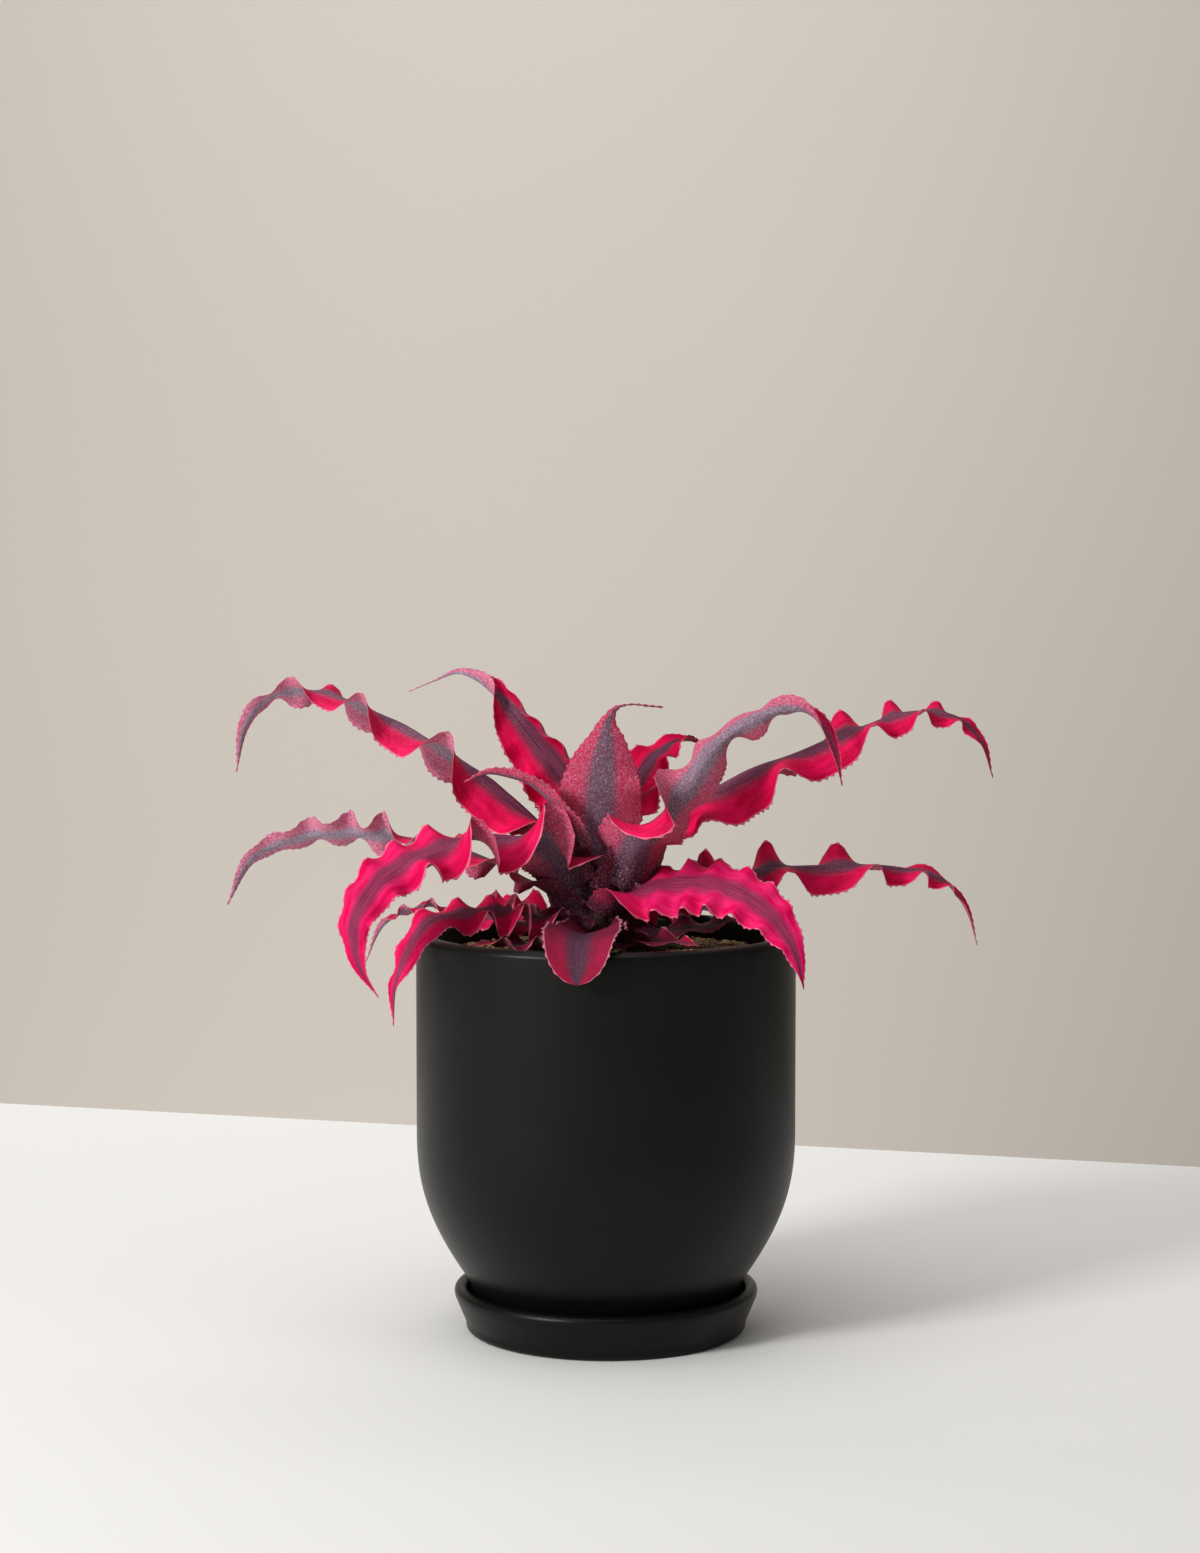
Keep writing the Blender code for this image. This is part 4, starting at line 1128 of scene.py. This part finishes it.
# %% Leaves behind the middle
leaf(
    "leaf_back_left", 150, 16,
    [(6, -4.5, 26, 0), (8, -4.5, 40, 0), (10.5, -5, 52, 0), (17, -3, 60, 0), (25, -2, 69, 0),
     (33, -1, 77.5, 10), (40, 0, 83, 50), (47, 0, 88, 100), (55, 0, 90.5, 125), (64, 0, 88, 125),
     (75, 0, 84, 120)],
    left=([(0, 20), (0.25, -8), (0.5, -12), (0.65, 55)], [(0.2, 15), (0.36, 22), (0.5, 5), (0.8, 70)], 1.6),
    right=([(0, 40), (0.25, 58), (0.5, 66), (0.65, 70)],
           [(0.2, 60), (0.32, 72), (0.42, 76), (0.52, 78)], 1.3),
    back=-90, last=0.6, tip_fold=70, fall=3, thin=3.0,
)
leaf(
    "leaf_back_right_small", 40, 13,
    [(5, 0, 30, 0), (11, 0, 41, 0), (15, 0, 50, 0), (23, 0, 60, 0), (33, 0, 66.5, 0), (41, 0, 67.5, 0),
     (49, 0, 65, 0)],
    left=(10, [(0.2, 40), (0.42, 50), (0.6, 40)], 1.3),
    right=(-20, [(0.2, 20), (0.45, -10), (0.6, 10)], 1.3),
    last=0.75, tip_fold=40,
)
print(len(LEAVES), "leaves measured so far")

# %% [markdown]
# The heart has a few young leaves, short and narrow, still rolled into a channel.

# %% Young leaves
leaf(
    "leaf_young_left", 194, 5.5,
    [(8, 11, 34, 0), (11, 10, 40, 0), (15, 9, 45, 0), (20, 8, 51, 0), (25, 7, 55, 0), (32, 6, 57.5, 0),
     (38, 5, 58.5, 0), (46, 4, 55.8, 0)],
    left=(35, [(0.1, 50), (0.5, 40)], 1.3),
    right=(35, [(0.1, 50), (0.5, 40)], 1.3),
    last=0.6, tip_fold=60, fall=3,
)
leaf(
    "leaf_young_spike", -2, 3.4,
    [(5, -2, 34, 0), (12, -2, 45, 0), (17, -2, 51, 0), (25, -1, 57, 0)],
    left=(25, [(0.1, 30), (0.5, 25)], 1.3),
    right=(25, [(0.1, 30), (0.5, 25)], 1.3),
    tip_fold=20,
)
print(len(LEAVES), "leaves measured so far")

# %% [markdown]
# The oldest leaves are short stubs that lie on the mix or hang over the rim.

# %% Low leaves
leaf(
    "leaf_over_front_rim", -95, 12.5,
    [(6, 0, 3, 0), (20, 0, 5, 0), (40, 0, 8, 0), (55, 0, 9.5, 0), (64, 0, 8, 0), (69, 0, 2, 0),
     (71, 0, -4, 0)],
    left=(10, [(0.3, 25), (0.6, 20), (0.85, 15)], 1.3),
    right=(10, [(0.2, 25), (0.5, 20), (0.8, 15)], 1.3),
    last=0.95, tip_fold=10, fall=9, thin=0.6,
)
leaf(
    "leaf_soil_right", 6, 8,
    [(6, 0, 2, 0), (20, 0, 4, 0), (36, 0, 6, 0), (50, 0, 8, 0), (55, 0, 7, 0)],
    left=(0, [(0.2, 30), (0.5, 30), (0.75, 30)], 1.3),
    right=(-15, [(0.2, 0), (0.5, 0), (0.8, 10)], 1.3),
    last=0.9, tip_fold=10, fall=4,
)
leaf(
    "leaf_soil_front_right", -46, 8,
    [(6, 0, 1, 0), (20, 0, 2, 0), (34, 0, 4, 0), (48, 0, 4, 0)],
    left=(0, [(0.2, 30), (0.5, 50), (0.8, 40)], 1.3),
    right=(-5, [(0.2, 10), (0.5, 10), (0.8, 10)], 1.3),
    last=0.9, tip_fold=10, fall=3,
)
leaf(
    "leaf_soil_left", 215, 9,
    [(6, 0, 0, 0), (20, 0, 1, 0), (36, 0, 2.5, 0), (46, 0, 4, 0), (52, 0, 3, 0)],
    left=(-10, [(0.2, 10), (0.5, 30), (0.75, 30)], 1.3),
    right=(-10, [(0.2, 30), (0.5, 30), (0.8, 10)], 1.3),
    last=0.9, tip_fold=20, fall=3,
)
print(len(LEAVES), "leaves measured so far")

# %% [markdown]
# The back of the plant gets one long arching leaf and two low ones.

# %% Leaves at the back
EARLY_CRESTS = [(0.15, 20), (0.34, 40), (0.52, 45), (0.70, 40)]
LATE_CRESTS = [(0.24, 30), (0.43, 45), (0.61, 45), (0.78, 40)]

leaf(
    "leaf_back", 84, 13,
    [(6, 0, 16, 0), (14, 0, 30, 0), (28, 0, 42, 0), (50, 0, 50, 0), (74, 0, 50, 0), (96, 0, 42, 0),
     (108, 0, 30, 0)],
    left=(-30, EARLY_CRESTS, 1.5),
    right=(-30, LATE_CRESTS, 1.5),
)
leaf(
    "leaf_back_low_right", 58, 11,
    [(6, 0, 4, 0), (20, 0, 7, 0), (42, 0, 9, 0), (62, 0, 10, 0), (78, 0, 4, 0), (86, 0, -6, 0)],
    left=(-20, EARLY_CRESTS, 1.5),
    right=(-20, LATE_CRESTS, 1.5),
)
leaf(
    "leaf_back_low_left", 122, 11,
    [(6, 0, 3, 0), (20, 0, 6, 0), (42, 0, 8, 0), (62, 0, 9, 0), (78, 0, 2, 0), (86, 0, -9, 0)],
    left=(-20, LATE_CRESTS, 1.5),
    right=(-20, EARLY_CRESTS, 1.5),
)
print(len(LEAVES), "leaves measured in all")

# %% [markdown]
# The colours change from leaf to leaf and along each one. The old outer leaves and the undersides are
# frosted with scurf, the two leaves over the front rim are the hottest pink, and every leaf darkens to purple
# towards the stem. "foot" is how far up the leaf that darkening reaches. On the leaf that hangs over the front
# rim and on the low leaves on the mix it reaches past the middle, as painted shade. Two sheaths are wider than
# the rest, one of them is turned round the stem as well, and the middle leaf's is narrow.

# %% Colour of each leaf, and growing them all
PLAIN_LOOK = dict(tone=0.15, frost=0.25, foot=0.16)
# The low leaves on the mix are darkened from the sheath past their middle: painted shade.
SOIL_LOOK = dict(tone=0.0, frost=0.35, foot=1.2)
LOOKS = {
    "leaf_upper_left": dict(tone=[(0, 0.1), (1, 0.4)],
                            frost=[(0, 0.1), (0.28, 0.15), (0.36, 0.8), (1, 0.8)], foot=0.16),
    "leaf_upper_right_far": dict(tone=0.15, frost=[(0, 0.15), (0.7, 0.25), (1, 0.5)], foot=0.2),
    "leaf_right": dict(tone=0.15, frost=[(0, 0.2), (0.7, 0.3), (1, 0.6)], foot=0.2),
    "leaf_left": dict(tone=0.2, frost=[(0, 0.1), (0.3, 0.4), (0.5, 0.85), (1, 0.85)], foot=0.22),
    "leaf_front_right": dict(tone=[(0, 0.5), (0.3, 0.95), (1, 0.85)], frost=0.05, foot=0.07),
    "leaf_front_left": dict(tone=[(0, 0.2), (0.4, 0.3), (0.6, 0.65), (1, 0.65)],
                            frost=[(0, 0.3), (0.4, 0.2), (0.6, 0.05), (1, 0.05)], foot=0.24,
                            foot_width=1.0, foot_turn=56),
    "leaf_low_front_left": dict(tone=[(0, 0.1), (0.5, 0.35), (0.8, 0.7), (1, 0.7)],
                                frost=[(0, 0.3), (0.5, 0.3), (0.7, 0.1), (1, 0.2)], foot=0.3),
    "leaf_low_left": dict(tone=0.2, frost=[(0, 0.2), (0.5, 0.7), (1, 0.8)], foot=0.2),
    "leaf_upper_right": dict(tone=[(0, 0.2), (1, 0.3)], frost=[(0, 0.15), (0.25, 0.3), (0.45, 0.45), (1, 0.6)],
                             foot=0.14, foot_width=1.35),
    "leaf_centre": dict(tone=0.1, frost=0.18, foot=0.1, foot_width=0.3),
    "leaf_back_left": dict(tone=0.15, frost=[(0, 0.1), (0.5, 0.15), (0.62, 0.7), (1, 0.9)], foot=0.2),
    "leaf_back_right_small": dict(tone=0.0, frost=0.10, foot=0.25),
    "leaf_soil_right": SOIL_LOOK,
    "leaf_soil_front_right": SOIL_LOOK,
    "leaf_soil_left": SOIL_LOOK,
    "leaf_back_low_left": dict(tone=0.1, frost=0.25, foot=0.5),
    # The leaf over the front rim is darkened over most of its length: painted shade.
    "leaf_over_front_rim": dict(tone=0.0, frost=0.35, foot=1.6),
}
FIRST_SEED = 100
SEED_STEP = 20

for number, spec in enumerate(LEAVES):
    grow(spec, LOOKS.get(spec["name"], PLAIN_LOOK), FIRST_SEED + SEED_STEP * number)
print(len(LEAVES), "leaves grown")

# %% [markdown]
# ## The crown stem
# Deep between the leaves is the short stem that they grow from. Only a dark brown tip of it ever shows. It
# is a tapered post with ring-shaped leaf scars, and it is the last piece of the plant.

# %% Turn the stem
stem_low, stem_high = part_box("crown_stem")
STEM_RADIUS = (stem_high.x - stem_low.x) / 2
STEM_SCARS = 9
STEM_SCAR_DEPTH = 0.00015
STEM_ROWS = 60
STEM_TAPER = 0.995
STEM_TAPER_POWER = 2.5
STEM_BROWNS = ((0.055, 0.02, 0.028), (0.16, 0.075, 0.07))

share = np.linspace(0, 1, STEM_ROWS)
scars = STEM_SCAR_DEPTH * (1 + np.sin(2 * np.pi * STEM_SCARS * share))
stem_radius = STEM_RADIUS * np.sqrt(1 - STEM_TAPER * share**STEM_TAPER_POWER) - scars
stem_height = stem_low.z + (stem_high.z - stem_low.z) * share
stem_profile = np.stack([np.maximum(stem_radius, AXIS_HOLE), stem_height], axis=1)
stem_profile = np.concatenate([[(AXIS_HOLE, stem_high.z)], stem_profile[::-1], [(AXIS_HOLE, stem_low.z)]])
stem_points = turned(stem_profile) + np.array([(stem_low.x + stem_high.x) / 2, 0.0, 0.0])


def stem_finish():
    """Fibrous purple brown, streaked along the stem."""
    material, tree, shader, place = new_finish("stem_fibre", roughness=0.8, specular=0.2)
    stretched = add_node(tree, "ShaderNodeMapping", {"Vector": place, "Scale": (1.0, 1.0, 0.15)})
    fibre = noise(tree, stretched.outputs["Vector"], 2500.0, detail=3.0)
    set_colour(tree, shader, two_tone(tree, fibre, 0.35, 0.65, STEM_BROWNS))
    add_bump(tree, shader, fibre, 0.0003)
    return material


add_piece("stem_core", stem_points, turned_faces(stem_profile), [stem_finish()],
          ["crown_stem"])
